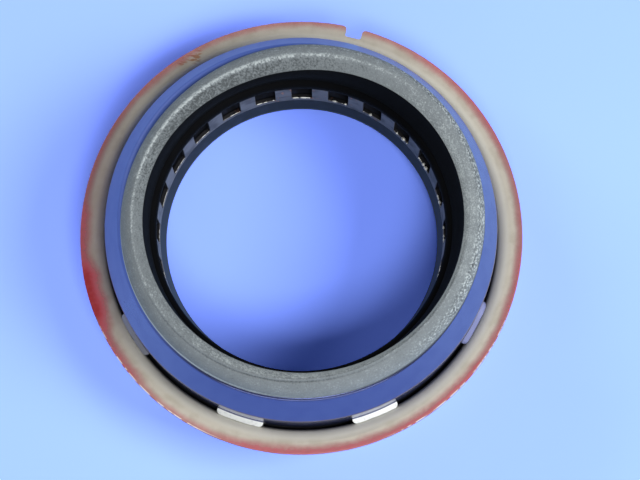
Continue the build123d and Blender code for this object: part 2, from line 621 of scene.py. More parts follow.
@dataclass(frozen=True)
class ShieldSteel(PressedSteel):
    """The blue plated steel of the shield, with painted reflections and a painted highlight.
    A saturated, less metallic blue on top and towards +Y and -X paints the table's blue reflection. A deep
    blue towards -Y, +Y and -X and on the tabs at +X paints darker reflections and shade. Near white on the
    tabs at -Y paints their highlight.

    A side is y - x over the radius, which grows from +X and -Y towards +Y and -X. A share says how
    far a colour covers what lies under it.

    Attributes:
        painted_dim_blue: the deep blue of the painted darker reflections and shade.
        south, south_painted_dim_share: where it grows towards -Y, as y over the radius.
        painted_dim_side, painted_dim_share: where it grows towards +Y and -X.
        east, east_painted_dim_share: where it grows on the tabs towards +X, as x over the radius, as painted
            shade there.
        crown_painted_reflection: the saturated blue that paints the table's reflection.
        crown_height, crown_side: where it grows up the shield, and on which side.
        painted_reflection_side, painted_reflection_share: where it grows lower down the shield.
        crown_blur, crown_veil: how much rougher and less metallic it is.
        dull, dull_share, bent_radius: the dull tabs, and where they start outwards.
        bent_blur, bent_veil: how much rougher and less metallic they are.
        bare, glint_side: the near white that paints the highlight on the tabs at -Y, and where it grows, as y
            over the radius.
        rub_size, rub_cut, rub_share: the spots that are left in it.
        bare_veil: how much less metallic it is.
    """

    painted_dim_blue: Colour = shade(44, 56, 116)
    south_painted_dim: Span = (-0.55, -1.0)
    south_painted_dim_share: float = 0.45
    painted_dim_side: Span = (0.7, 1.4)
    painted_dim_share: float = 0.9
    east_painted_dim: Span = (0.55, 0.85)
    east_painted_dim_share: float = 0.7
    crown_painted_reflection: Colour = shade(72, 98, 178)
    crown_height: Span = (28.2 * MM, 28.7 * MM)
    crown_side: Span = (-0.5, 0.5)
    painted_reflection_side: Span = (0.1, 1.1)
    painted_reflection_share: float = 0.75
    crown_blur: float = 0.3
    crown_veil: float = 0.7
    dull: Colour = shade(142, 144, 150)
    dull_share: float = 0.8
    bent_radius: Span = (41.98 * MM, 42.12 * MM)
    bent_blur: float = 0.24
    bent_veil: float = 0.3
    bare: Colour = shade(228, 231, 228)
    glint_side: Span = (-0.65, -0.80)
    rub_size: float = 0.7 * MM
    rub_cut: Span = (0.5, 0.8)
    rub_share: float = 0.4
    bare_veil: float = 0.5

    def make(self) -> bpy.types.Material:
        """Makes the finish of the shield.

        Returns:
            The material.
        """
        bench, colour, roughness, height = self.start()
        # Painted darker reflections towards -Y, and towards +Y and -X below the top.
        south_painted_dim = (bench.y / bench.radius).ramp(*self.south_painted_dim)
        side = (bench.y - bench.x) / bench.radius
        # Painted reflection: a saturated, less metallic blue on top and towards +Y and -X.
        crown_painted_reflection = bench.height.ramp(*self.crown_height) * side.ramp(*self.crown_side)
        crown_painted_reflection = crown_painted_reflection.larger(side.ramp(*self.painted_reflection_side) * self.painted_reflection_share)
        north_west_painted_dim = side.ramp(*self.painted_dim_side) * (1 - crown_painted_reflection)
        colour = bench.mix(south_painted_dim * self.south_painted_dim_share + north_west_painted_dim * self.painted_dim_share, colour, self.painted_dim_blue)
        bent = bench.radius.ramp(*self.bent_radius)
        left = 1 - bench.grain(self.rub_size).ramp(*self.rub_cut) * self.rub_share
        # Painted highlight: near white on the tabs at -Y, with a few spots left in it.
        painted_glint = bent * (bench.y / bench.radius).ramp(*self.glint_side) * left
        colour = bench.mix(bent * self.dull_share, colour, self.dull)
        # Painted shade on the tabs at +X, over the highlight that the lamp gives them.
        east_painted_dim = bent * (bench.x / bench.radius).ramp(*self.east_painted_dim)
        colour = bench.mix(east_painted_dim * self.east_painted_dim_share, colour, self.painted_dim_blue)
        colour = bench.mix(crown_painted_reflection, colour, self.crown_painted_reflection)
        metallic = self.metallic - bent * self.bent_veil - painted_glint * self.bare_veil
        return bench.close({
            "Base Color": bench.mix(painted_glint, colour, self.bare),
            "Roughness": roughness + bent * self.bent_blur + crown_painted_reflection * self.crown_blur,
            "Metallic": metallic - crown_painted_reflection * self.crown_veil,
            "Normal": bench.bump(height, self.marks),
        })


@dataclass(frozen=True)
class SleeveSteel(PressedSteel):
    """The dark steel of the slotted sleeve, with copper-coloured rubs near some windows, and painted shade
    over its top and the cut edges of its windows.

    Attributes:
        oily, oil_shade_height: a near-black tone of oil that paints the shade over the top of the sleeve, and
            where it grows upwards.
        cut_radius, cut_shade_share: where the cut edges start outwards, and how far that tone paints shade
            over them.
        oil_blur, oil_metal: how much rougher and more metallic the oil makes it.
        copper: the colour of the rubs.
        rub_side: where they grow towards +Y, as y over the radius.
        rub_size, rub_cut, rub_share: their size, the levels between which they show, and their strength.
        blur: how much rougher the sleeve is than its sheet.
    """

    oil_shade_tone: Colour = shade(20, 21, 24)
    oil_shade_height: Span = (18.6 * MM, 19.4 * MM)
    cut_radius: Span = (31.08 * MM, 31.25 * MM)
    cut_shade_share: float = 0.85
    oil_blur: float = 0.3
    oil_metal: float = 0.4
    copper: Colour = shade(196, 134, 104)
    rub_side: Span = (0.75, 0.97)
    rub_size: float = 1.6 * MM
    rub_cut: Span = (0.64, 0.72)
    rub_share: float = 0.7
    blur: float = 0.1

    def make(self) -> bpy.types.Material:
        """Makes the finish of the sleeve.

        Returns:
            The material.
        """
        bench, colour, roughness, height = self.start()
        # Painted shade: the near-black tone of oil over the top of the sleeve and on the cut edges of the
        # windows.
        cut = bench.radius.ramp(*self.cut_radius)
        oil = bench.height.ramp(*self.oil_shade_height).larger(cut * self.cut_shade_share)
        north = (bench.y / bench.radius).ramp(*self.rub_side)
        rubs = bench.grain(self.rub_size).ramp(*self.rub_cut) * north * (1 - oil) * self.rub_share
        colour = bench.mix(oil, colour, self.oil_shade_tone)
        return bench.close({
            "Base Color": bench.mix(rubs, colour, self.copper),
            "Roughness": roughness + self.blur + oil * self.oil_blur,
            "Metallic": self.metallic + oil * self.oil_metal,
            "Normal": bench.bump(height, self.marks),
        })


@dataclass(frozen=True)
class Sealant:
    """The red sealant on the case: a thin see-through film that turns deep red where it lies thick.

    Attributes:
        name: the name of the material.
        thin, thick: its colours.
        deep: from which to which cover it turns from the thin colour to the thick one.
        body: how much of the metal a full cover hides.
        roughness: how blurred its reflections are.
        cloud_size: the size of its clouds.
        cloud_tone, cloud_blur, cloud_body: how far they change the colour, the roughness and the body.
        lumps: how high its lumps are.
    """

    name: str = "sealant_red"
    thin: Colour = shade(192, 92, 104)
    thick: Colour = shade(152, 42, 46)
    deep: Span = (0.55, 1.1)
    body: float = 1.12
    roughness: float = 0.34
    cloud_size: float = 0.9 * MM
    cloud_tone: float = 0.3
    cloud_blur: float = 0.2
    cloud_body: float = 0.6
    lumps: float = 30e-6

    def make(self) -> bpy.types.Material:
        """Makes the finish of the sealant.

        Returns:
            The material.
        """
        bench = Bench(self.name)
        cover = bench.attribute("cover")
        clouds = bench.grain(self.cloud_size, detail=3.0)
        colour = bench.mix((cover + clouds.swing(self.cloud_tone)).ramp(*self.deep), self.thin, self.thick)
        # The film is left off where the rim's chips are painted bright as highlights.
        bare = RimChipGlints().bare(bench)
        return bench.close({
            "Base Color": colour,
            "Roughness": self.roughness + clouds.swing(self.cloud_blur),
            "Alpha": (cover * (self.body + clouds.swing(self.cloud_body))).smaller(1.0) * (1 - bare),
            "Normal": bench.bump(clouds, self.lumps),
        })


@dataclass(frozen=True)
class NoseRubber:
    """Matt grey rubber with a mould grain on the nose, and a clean black liner down the bore.
    The relief that the nose carries holds painted light and shade too, which the pit and peak colours show.

    Attributes:
        name: the name of the material.
        face, liner: its colours on the nose and in the bore.
        pit, pit_level: its colour in the pits of the grain, and where in the relief it grows.
        peak, peak_level: the same for the peaks.
        dust_size, dust_tone: the size of the dust's spots, and how far they change the relief's tone.
        grit_size, grit_tone, grit_depth: the same for the grit, and how far it stands out.
        roughness, gloss: how blurred and how strong its reflections are.
    """

    name: str = "nose_rubber"
    face: Colour = shade(118, 125, 129)
    liner: Colour = shade(10, 11, 13)
    pit: Colour = shade(78, 83, 86)
    pit_level: Span = (0.5, 0.08)
    peak: Colour = shade(174, 183, 185)
    peak_level: Span = (0.5, 0.95)
    dust_size: float = 2.2 * MM
    dust_tone: float = 0.3
    grit_size: float = 0.24 * MM
    grit_tone: float = 0.55
    grit_depth: float = 40e-6
    roughness: float = 0.85
    gloss: float = 0.06

    def make(self) -> bpy.types.Material:
        """Makes the finish of the nose ring.

        Returns:
            The material.
        """
        bench = Bench(self.name)
        relief = bench.attribute("relief")
        dust = bench.grain(self.dust_size, detail=4.0)
        grit = bench.grain(self.grit_size)
        level = relief + grit.swing(self.grit_tone) + dust.swing(self.dust_tone)
        # The relief carries painted light and shade from the nose ring, so these colours show it too.
        colour = bench.mix(level.ramp(*self.pit_level), self.face, self.pit)
        colour = bench.mix(level.ramp(*self.peak_level), colour, self.peak)
        inside = bench.attribute("black")
        return bench.close({
            "Base Color": bench.mix(inside, colour, self.liner),
            "Roughness": self.roughness,
            "Specular IOR Level": self.gloss,
            "Normal": bench.bump(grit, self.grit_depth),
        })


@dataclass(frozen=True)
class LipRubber:
    """Smooth black rubber, wet with oil, tinted blue as a painted reflection of the blue table.

    Attributes:
        name: the name of the material.
        tone, dull: its colours where it is wet and where it is drier; their blue is a painted reflection.
        film_size, film_cut: the size of the dry spots, and the levels between which they show.
        film_blur, film_depth: how much rougher they are, and how far they stand out.
        roughness, gloss: how blurred and how strong its reflections are.
    """

    name: str = "lip_rubber"
    # Both colours are tinted blue as a painted reflection of the table.
    tone: Colour = shade(14, 17, 26)
    dull: Colour = shade(26, 32, 50)
    film_size: float = 2.6 * MM
    film_cut: Span = (0.4, 0.7)
    film_blur: float = 0.22
    film_depth: float = 20e-6
    roughness: float = 0.30
    gloss: float = 0.35

    def make(self) -> bpy.types.Material:
        """Makes the finish of the lip.

        Returns:
            The material.
        """
        bench = Bench(self.name)
        film = bench.grain(self.film_size, detail=3.0)
        return bench.close({
            "Base Color": bench.mix(film.ramp(*self.film_cut), self.tone, self.dull),
            "Roughness": self.roughness + film * self.film_blur,
            "Specular IOR Level": self.gloss,
            "Normal": bench.bump(film, self.film_depth),
        })


@dataclass(frozen=True)
class Tabletop:
    """A plain pale blue table. Seen directly or in metal it has a little more blue, so its shadows stay blue.

    Attributes:
        name: the name of the material.
        cloud_size: the size of its clouds.
        tone, deep: its colours, by which it lights the seal.
        veil: the light that it adds where metal mirrors it.
        near, near_deep: its colours where it is seen directly.
        haze: the light that it adds there.
    """

    name: str = "tabletop"
    cloud_size: float = 40 * MM
    tone: Colour = shade(172, 206, 252)
    deep: Colour = shade(168, 203, 251)
    veil: Colour = (0.0, 0.014, 0.20, 1.0)
    near: Colour = (0.365, 0.560, 1.75, 1.0)
    near_deep: Colour = (0.350, 0.535, 1.68, 1.0)
    haze: Colour = (0.0, 0.006, 0.07, 1.0)

    @staticmethod
    def glowing(bench: Bench, matt: bpy.types.NodeSocket, light: Colour) -> bpy.types.NodeSocket:
        """Adds a little light of its own to a shader.

        Args:
            bench: the bench of the finish.
            matt: the shader.
            light: the light that it adds.

        Returns:
            The shader with its light.
        """
        glow = bench.node("ShaderNodeEmission", {}, {0: light}).outputs[0]
        return bench.node("ShaderNodeAddShader", {}, {0: matt, 1: glow}).outputs[0]

    def make(self) -> bpy.types.Material:
        """Makes the finish of the table.

        Returns:
            The material.
        """
        bench = Bench(self.name)
        clouds = bench.grain(self.cloud_size)
        matt, near = (
            bench.node("ShaderNodeBsdfDiffuse", {}, {0: bench.mix(clouds, *tones)}).outputs[0]
            for tones in ((self.tone, self.deep), (self.near, self.near_deep))
        )
        path = bench.node("ShaderNodeLightPath").outputs
        mirrored = bench.blend(path["Is Glossy Ray"], matt, self.glowing(bench, matt, self.veil))
        seen = bench.blend(path["Is Camera Ray"], mirrored, self.glowing(bench, near, self.haze))
        bench.node("ShaderNodeOutputMaterial", {}, {0: seen})
        return bench.material


class Finish(Enum):
    """The finishes, each under the name of its material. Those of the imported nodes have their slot's."""

    case_steel = CaseSteel("case_steel", shade(188, 182, 168), shade(176, 169, 154), 0.2, 0.5)
    carrier_steel = PressedSteel("carrier_steel", shade(52, 53, 56), shade(42, 43, 46), 0.8, 0.42)
    lip_rubber = LipRubber()
    spring_steel = PressedSteel("spring_steel", shade(176, 178, 182), shade(158, 160, 166), 1.0, 0.26, 0.0)
    sleeve_steel = SleeveSteel("sleeve_steel", shade(116, 115, 120), shade(84, 84, 90), 0.55, 0.46)
    # Near white and little metallic, so that the burrs show as painted glints under any lamp.
    burr_glint_steel = PressedSteel("burr_glint_steel", shade(238, 238, 232), shade(214, 212, 204), 0.35, 0.42)
    shield_steel = ShieldSteel("shield_steel", shade(104, 112, 152), shade(98, 106, 148), 0.8, 0.22)
    nose_rubber = NoseRubber()
    sealant_red = Sealant()
    tabletop = Tabletop()


def dress(node: str, finish: Finish) -> None:
    """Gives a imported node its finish.

    Args:
        node: the name of the node.
        finish: the finish that it takes.
    """
    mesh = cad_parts[node].data
    mesh.materials.clear()
    mesh.materials.append(finish.value.make())
    log.info("%s keeps its packed shape and is dressed in %s", node, finish.name)


@dataclass
class Run:
    """One stretch of a section.

    Attributes:
        end: its end, as radius and height.
        steps: how many pieces it is divided into.
        bulge: how far its middle stands out to the left of its course.
        corner: the radius at its end.
        corner_steps: how many pieces that corner is divided into.
    """

    end: Point
    steps: int = 1
    bulge: float = 0.0
    corner: float = 0.0
    corner_steps: int = 4


class Section:
    """The line that a ring is turned from, as points that know which stretch they lie on."""

    def __init__(self, start: Point, runs: list[Run], closed: bool = False) -> None:
        """Divides the runs into points.

        Args:
            start: where the first run starts.
            runs: the stretches, in their order.
            closed: whether the last run ends where the first starts.
        """
        self.points: list[Vector] = []
        self.marks: list[tuple[int, float]] = []
        corners = [Vector(start), *[Vector(run.end) for run in runs]]
        radii = [runs[-1].corner if closed else 0.0, *[run.corner for run in runs]]
        reaches = []
        arcs = []
        last = len(runs)
        for place, radius in enumerate(radii):
            before = corners[place - 1 if place else last - 1]
            after = corners[place + 1 if place < last else 1]
            open_end = not closed and place in (0, last)
            reach, arc = 0.0, []
            if radius and not open_end:
                reach, arc = self.bend(before, corners[place], after, radius, runs[place - 1].corner_steps)
            reaches.append(reach)
            arcs.append(arc)
        for place, run in enumerate(runs):
            first, second = corners[place], corners[place + 1]
            length = (second - first).length
            low = reaches[place] / length
            high = 1 - reaches[place + 1] / length
            side = Vector((first.y - second.y, second.x - first.x)).normalized()
            for step in range(run.steps + 1):
                share = low + (high - low) * step / run.steps
                if step == 0 and place and not reaches[place]:
                    continue
                point = first.lerp(second, share) + side * (4 * run.bulge * share * (1 - share))
                self.points.append(point)
                self.marks.append((place, share))
            for point in arcs[place + 1][1:-1]:
                self.points.append(point)
                self.marks.append((place, 1.0))
        if closed and not reaches[0]:
            self.points.pop()
            self.marks.pop()
        self.closed = closed

    @staticmethod
    def bend(
        before: Vector, corner: Vector, after: Vector, radius: float, steps: int
    ) -> tuple[float, list[Vector]]:
        """Rounds one corner.

        Args:
            before, corner, after: the corner and its neighbours.
            radius: the radius of the rounding.
            steps: how many pieces it is divided into.

        Returns:
            How far the rounding reaches from the corner, and its points.
        """
        back = (before - corner).normalized()
        ahead = (after - corner).normalized()
        half = back.angle(ahead) / 2
        centre = corner + (back + ahead).normalized() * (radius / sin(half))
        reach = radius / tan(half)
        arm = corner + back * reach - centre
        sweep = (pi - 2 * half) * (1 if back.cross(ahead) < 0 else -1)
        points = []
        for step in range(steps + 1):
            turn = sweep * step / steps
            points.append(centre + Vector((
                arm.x * cos(turn) - arm.y * sin(turn),
                arm.x * sin(turn) + arm.y * cos(turn),
            )))
        return reach, points

    def end_of(self, run: int) -> int:
        """Gives the place of the point at which a stretch ends."""
        return self.marks.index((run, 1.0))

    def normals(self) -> list[Vector]:
        """Works out the direction to the left of the line at each point.

        Returns:
            The directions, in the order of the points.
        """
        count = len(self.points)
        found = []
        for place in range(count):
            before = self.points[place - 1 if place or self.closed else 0]
            after = self.points[(place + 1) % count if self.closed else min(place + 1, count - 1)]
            course = (after - before).normalized()
            found.append(Vector((-course.y, course.x)))
        return found


class Skin:
    """The vertices, faces and carried numbers of a piece while it is being made."""

    def __init__(self) -> None:
        """Starts an empty skin."""
        self.vertices: list[tuple[float, float, float]] = []
        self.faces: list[tuple[int, ...]] = []
        self.numbers: dict[str, list[float]] = {}

    def vertex(self, azimuth: float, radius: float, height: float, **numbers: float) -> int:
        """Adds a vertex.

        Args:
            azimuth, radius, height: its place.
            numbers: what the mesh carries there, by name.

        Returns:
            Its index.
        """
        turn = radians(azimuth)
        self.vertices.append((radius * cos(turn), radius * sin(turn), height))
        for name, value in numbers.items():
            self.numbers.setdefault(name, []).append(value)
        return len(self.vertices) - 1

    def weave(
        self,
        rows: list[list[int]],
        closed_rows: bool,
        closed_columns: bool,
        keep: Callable[[int, int], bool] | None = None,
    ) -> None:
        """Joins rows of vertices with four-sided faces.

        Args:
            rows: the rows, each of the same length.
            closed_rows: whether the last row meets the first.
            closed_columns: whether each row meets its own start.
            keep: a test of row and column that says whether a face is made, or None for all.
        """
        width = len(rows[0])
        for row in range(len(rows) if closed_rows else len(rows) - 1):
            ahead = rows[(row + 1) % len(rows)]
            for column in range(width if closed_columns else width - 1):
                if keep is None or keep(row, column):
                    beside = (column + 1) % width
                    self.faces.append((rows[row][column], ahead[column], ahead[beside], rows[row][beside]))

    def build(self, name: str, finish: Finish) -> bpy.types.Object:
        """Makes the piece and lets it ride on the seal.

        Args:
            name: the name of the piece.
            finish: its finish.

        Returns:
            The object.
        """
        mesh = bpy.data.meshes.new(name)
        mesh.from_pydata(self.vertices, [], self.faces)
        for label, values in self.numbers.items():
            mesh.attributes.new(label, "FLOAT", "POINT").data.foreach_set("value", values)
        mesh.shade_smooth()
        mesh.materials.append(finish.value.make())
        piece = bpy.data.objects.new(name, mesh)
        bpy.context.scene.collection.objects.link(piece)
        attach(piece, "root")
        log.info("%s has %d faces", name, len(self.faces))
        return piece


def thicken(piece: bpy.types.Object, sheet: float, edge: float) -> None:
    """Gives a middle surface the thickness of its sheet, with softly rounded edges.

    Args:
        piece: the middle surface.
        sheet: the thickness of the sheet.
        edge: how far its edges are rounded.
    """
    solid = piece.modifiers.new("sheet", "SOLIDIFY")
    solid.thickness = sheet
    solid.offset = 0.0
    solid.use_even_offset = True
    bevel = piece.modifiers.new("edges", "BEVEL")
    bevel.width = edge
    bevel.segments = BEVEL_STEPS
    bevel.limit_method = "ANGLE"
    bevel.angle_limit = SHARP_ANGLE
    piece.modifiers.new("shading", "WEIGHTED_NORMAL")


@dataclass
class DustShield:
    """The dust shield: top flange, cone and skirt of one sheet, with tabs bent out of its foot.

    Attributes:
        sheet: the thickness of the sheet.
        inner_radius: the hole in the top flange.
        crown_radius: where the top flange would meet the cone.
        skirt_radius: the middle of the sheet in the skirt.
        cone_foot: where the cone would meet the skirt.
        crown_bend, skirt_bend: the radii there.
        tab_count, first_tab: how many tabs there are, and the azimuth of the first.
        tab_width, slit: the width of a tab and of the cut beside it.
        tab_steps, free_steps: how many pieces a tab, and the skirt between two, are divided into.
        knee, knee_bend, knee_steps: the height at which a tab is bent out, its radius and its pieces.
        tip: the middle of a tab's end.
        tip_corner: the radius of a tab's corners.
        tip_shares: where a tab is divided between its knee and its tip.
        edge: how far the edges of the sheet are rounded.
        dent: how deep the dents of its sheet are.
        dent_rate, dent_rise: how often they come round the turn, and how fast they change with height.
        tab_run: the stretch of the section that ends where the tabs are bent out.
    """

    sheet: float = 1.0 * MM
    inner_radius: float = 34.4 * MM
    crown_radius: float = 37.8 * MM
    skirt_radius: float = 41.4 * MM
    cone_foot: float = 21.6 * MM
    crown_bend: float = 0.9 * MM
    skirt_bend: float = 1.9 * MM
    tab_count: int = 9
    first_tab: float = 12.0
    tab_width: float = 10.2 * MM
    slit: float = 0.4 * MM
    tab_steps: int = 16
    free_steps: int = 22
    knee: float = 13.548 * MM
    knee_bend: float = 0.75 * MM
    knee_steps: int = 5
    tip: Point = (42.904 * MM, 12.815 * MM)
    tip_corner: float = 0.9 * MM
    tip_shares: tuple[float, ...] = (0.3, 0.5, 0.65, 0.78, 0.88, 0.95, 1.0)
    edge: float = 0.14 * MM
    dent: float = 0.035 * MM
    dent_rate: float = 2.2
    dent_rise: float = 40.0
    tab_run: int = 2

    def azimuths(self) -> list[tuple[float, int]]:
        """Lays out the azimuth lines.

        Returns:
            Their azimuths, each with the number of the tab that it lies on, or -1 beside the tabs.
        """
        half_tab = degrees(self.tab_width / 2 / (self.skirt_radius + self.sheet / 2))
        half_slot = half_tab + degrees(self.slit / (self.skirt_radius + self.sheet / 2))
        pitch = 360 / self.tab_count
        half_steps = self.tab_steps / 2
        lines = []
        for tab in range(self.tab_count):
            middle = self.first_tab + pitch * tab
            lines.append((middle - half_slot, -1))
            lines += [
                (middle + half_tab * (step / half_steps - 1), tab)
                for step in range(self.tab_steps + 1)
            ]
            lines.append((middle + half_slot, -1))
            free = pitch - 2 * half_slot
            lines += [
                (middle + half_slot + free * step / self.free_steps, -1)
                for step in range(1, self.free_steps)
            ]
        return lines

    def add_tab(
        self, skin: Skin, tab: int, lines: list[tuple[float, int]], roots: list[int], knee: list[Vector]
    ) -> None:
        """Adds one bent tab, with rounded corners at its tip.

        Args:
            skin: the skin that it is added to.
            tab: its number.
            lines: the azimuth lines, each with the number of its tab.
            roots: the vertex of each line from which a tab is bent out.
            knee: the points of the bend.
        """
        end, tip = knee[-1], Vector(self.tip)
        run = (tip - end).length
        middle = self.first_tab + 360 / self.tab_count * tab
        half = degrees(self.tab_width / 2 / self.skirt_radius)
        strip = []
        for (azimuth, number), root in zip(lines, roots):
            if number != tab:
                continue
            column = [root]
            column += [skin.vertex(azimuth, point.x, point.y) for point in knee[1:]]
            for share in self.tip_shares:
                scale = 1 - degrees(inset(self.tip_corner, run * (1 - share)) / self.skirt_radius) / half
                point = end.lerp(tip, share)
                column.append(skin.vertex(middle + (azimuth - middle) * scale, point.x, point.y))
            strip.append(column)
        skin.weave(strip, False, False)

    def make(self) -> bpy.types.Object:
        """Makes the shield.

        Returns:
            The shield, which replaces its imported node.
        """
        low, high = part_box("dust_shield")
        top = high.z - self.sheet / 2
        above, corner = Vector((self.skirt_radius, top)), Vector((self.skirt_radius, self.knee))
        knee = Section.bend(above, corner, Vector(self.tip), self.knee_bend, self.knee_steps)[1]
        section = Section((self.inner_radius, top), [
            Run((self.crown_radius, top), 5, corner=self.crown_bend, corner_steps=6),
            Run((self.skirt_radius, self.cone_foot), 14, corner=self.skirt_bend, corner_steps=6),
            Run((self.skirt_radius, knee[0].y), 8),
            Run((self.skirt_radius, low.z), 6),
        ])
        root = section.end_of(self.tab_run)
        skin = Skin()
        lines = self.azimuths()
        rows = []
        for azimuth, _ in lines:
            turn = radians(azimuth)
            row = []
            for point in section.points:
                place = Vector((cos(turn), sin(turn), point.y * self.dent_rise)) * self.dent_rate
                wave = noise.noise(place) * self.dent
                row.append(skin.vertex(azimuth, point.x + wave, point.y))
            rows.append(row)
        on_tab = [tab >= 0 for _, tab in lines]

        def keep(row: int, column: int) -> bool:
            """Leaves the tabs and the cuts beside them out of the skirt."""
            return column < root or not (on_tab[row] or on_tab[(row + 1) % len(lines)])

        skin.weave(rows, True, False, keep)
        for tab in range(self.tab_count):
            self.add_tab(skin, tab, lines, [row[root] for row in rows], knee)
        piece = skin.build("shield", Finish.shield_steel)
        thicken(piece, self.sheet, self.edge)
        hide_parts("dust_shield")
        return piece


@dataclass
class SlottedSleeve:
    """The slotted sleeve: a wall with a row of windows, under a narrow top flange.

    Attributes:
        sheet: the thickness of the sheet.
        wall_radius: the middle of the sheet in the wall.
        flange_radius: the rim of the top flange.
        bend: the radius between them.
        windows: how many windows there are.
        width, height: the size of a window.
        sill: how far the windows stand above the foot.
        corner: the radius of their corners.
        corner_share: how far the middle of a rounded corner lies from where the edges would meet.
        window_steps, bar_steps: how many pieces a window, and the bar between two, are divided into.
        edge: how far the edges of the sheet are rounded.
        burr, fin: the radius of the burr along the sills where it is swollen, and where it is not.
        root: how deep the burr's root sits in the edge of the sill.
        swollen: the levels of its noise between which the burr swells.
        knots: the rate and the depth of the finer part of that noise.
        window_seed, step_seed: how far on it is looked up from window to window and from step to step.
        drop, lean: how far the burr's middle lies below the sill, in roots, and into the bore, in burrs.
        blunt: how suddenly the burr ends beside the corners of a window.
        lively, least_lively: where round the turn the burr swells most, and how far it does elsewhere.
        burr_steps, burr_sides: how many pieces it is divided into, along and around.
        sill_run, head_run: the stretches of the section that end at the sill and at the window's head.
    """

    sheet: float = 1.0 * MM
    wall_radius: float = 31.5 * MM
    flange_radius: float = 34.4 * MM
    bend: float = 1.0 * MM
    windows: int = 24
    width: float = 4.6 * MM
    height: float = 7.1 * MM
    sill: float = 1.5 * MM
    corner: float = 0.4 * MM
    corner_share: float = 0.3
    window_steps: int = 6
    bar_steps: int = 5
    edge: float = 0.12 * MM
    burr: float = 0.36 * MM
    fin: float = 0.02 * MM
    root: float = 0.1 * MM
    swollen: Span = (-0.1, 0.3)
    knots: Span = (2.7, 0.3)
    lively: Patch = Patch(38, 52)
    least_lively: float = 0.08
    window_seed: float = 3.7
    step_seed: float = 0.26
    drop: float = 0.3
    lean: float = 0.2
    blunt: int = 8
    burr_steps: int = 24
    burr_sides: int = 8
    sill_run: int = 0
    head_run: int = 3

    def round_corners(self, skin: Skin, section: Section, lines: list[float], rows: list[list[int]]) -> None:
        """Fills the corners of the windows, so that they are round.

        Args:
            skin: the skin that they are added to.
            section: the line that the sleeve is turned from.
            lines: the azimuth lines.
            rows: the vertices along each line.
        """
        first, last = section.end_of(self.sill_run), section.end_of(self.head_run)
        per_window = len(lines) // self.windows
        far = self.window_steps + 2
        for start in range(0, len(lines), per_window):
            for outer, inner in ((start, start + 1), (start + far, start + far - 1)):
                for edge, within in ((first, first + 1), (last, last - 1)):
                    azimuth = lines[outer] + (lines[inner] - lines[outer]) * self.corner_share
                    low, high = (section.points[place].y for place in (edge, within))
                    middle = skin.vertex(azimuth, self.wall_radius, low + (high - low) * self.corner_share)
                    corner = [rows[outer][edge], rows[inner][edge], middle, rows[outer][within]]
                    clockwise = (outer < inner) == (edge < within)
                    skin.faces.append(tuple(corner if clockwise else reversed(corner)))

    def make(self) -> bpy.types.Object:
        """Makes the sleeve.

        Returns:
            The sleeve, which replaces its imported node.
        """
        low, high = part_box("slotted_sleeve")
        foot, head = low.z + self.sill, low.z + self.sill + self.height
        top = high.z - self.sheet / 2
        section = Section((self.wall_radius, low.z), [
            Run((self.wall_radius, foot), 3),
            Run((self.wall_radius, foot + self.corner)),
            Run((self.wall_radius, head - self.corner), 6),
            Run((self.wall_radius, head)),
            Run((self.wall_radius, top), 1, corner=self.bend, corner_steps=5),
            Run((self.flange_radius, top), 3),
        ])
        first, last = section.end_of(self.sill_run), section.end_of(self.head_run)
        half = degrees(self.width / 2 / self.wall_radius)
        straight = half - degrees(self.corner / self.wall_radius)
        pitch = 360 / self.windows
        half_steps = self.window_steps / 2
        steps = [straight * (step / half_steps - 1) for step in range(self.window_steps + 1)]
        steps = [-half, *steps, half]
        steps += [half + (pitch - 2 * half) * step / self.bar_steps for step in range(1, self.bar_steps)]
        skin = Skin()
        lines = [pitch * window + step for window in range(self.windows) for step in steps]
        rows = [[skin.vertex(azimuth, point.x, point.y) for point in section.points] for azimuth in lines]

        def keep(row: int, column: int) -> bool:
            """Leaves the windows open."""
            return row % len(steps) > self.window_steps + 1 or not first <= column < last

        skin.weave(rows, True, False, keep)
        self.round_corners(skin, section, lines, rows)
        piece = skin.build("sleeve", Finish.sleeve_steel)
        thicken(piece, self.sheet, self.edge)
        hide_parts("slotted_sleeve")
        return piece

    def burr_size(self, window: int, step: int, azimuth: float) -> float:
        """Says how thick the burr is.

        Args:
            window: the number of the window.
            step: the place along its sill, from 0 to burr_steps.
            azimuth: the azimuth of that place.

        Returns:
            Its radius there.
        """
        knot_rate, knot_depth = self.knots
        place = Vector((window * self.window_seed, step * self.step_seed, 0.5))
        level = noise.noise(place) + knot_depth * noise.noise(place * knot_rate)
        lively = self.least_lively + self.lively.at(azimuth)
        ends = 1 - (step / (self.burr_steps / 2) - 1) ** self.blunt
        return (self.fin + self.burr * ramp(level, *self.swollen) * lively) * ends

    def burrs(self) -> bpy.types.Object:
        """Makes the bright, broken burr that the punch left along the sill of each window. Its near-white
        finish paints the glints on the sills.

        Returns:
            The burrs, as one piece.
        """
        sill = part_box("slotted_sleeve")[0].z + self.sill - self.drop * self.root
        half = degrees(self.width / 2 / self.wall_radius)
        around = [2 * pi * side / self.burr_sides for side in range(self.burr_sides)]
        skin = Skin()
        for window in range(self.windows):
            rows = []
            for step in range(self.burr_steps + 1):
                azimuth = 360 / self.windows * window + half * (step / (self.burr_steps / 2) - 1)
                size = self.burr_size(window, step, azimuth)
                middle = self.wall_radius - self.sheet / 2 + self.root + self.lean * size
                rows.append([
                    skin.vertex(azimuth, middle + size * cos(turn), sill + size * sin(turn))
                    for turn in around
                ])
            skin.weave(rows, False, True)
        piece = skin.build("sleeve_burrs", Finish.burr_glint_steel)
        return piece


@dataclass(frozen=True)
class Stray:
    """A stretch of the nose where its trimmed rubber strays from the round.

    Attributes:
        azimuth, spread: where it lies, and how far it reaches to each side.
        mouth, crest, rim: how far the inner edge, the crest and the outer edge move outwards there.
        sink: how far the crest lies lower there.
    """

    azimuth: float
    spread: float
    mouth: float = 0.0
    crest: float = 0.0
    rim: float = 0.0
    sink: float = 0.0


class NoseRun(IntEnum):
    """The stretches of the nose's section, in their order."""

    foot = 0
    liner = 1
    inner_slope = 2
    outer_slope = 3
    side = 4
    bleed = 5
    bleed_edge = 6
    seat = 7
    back = 8


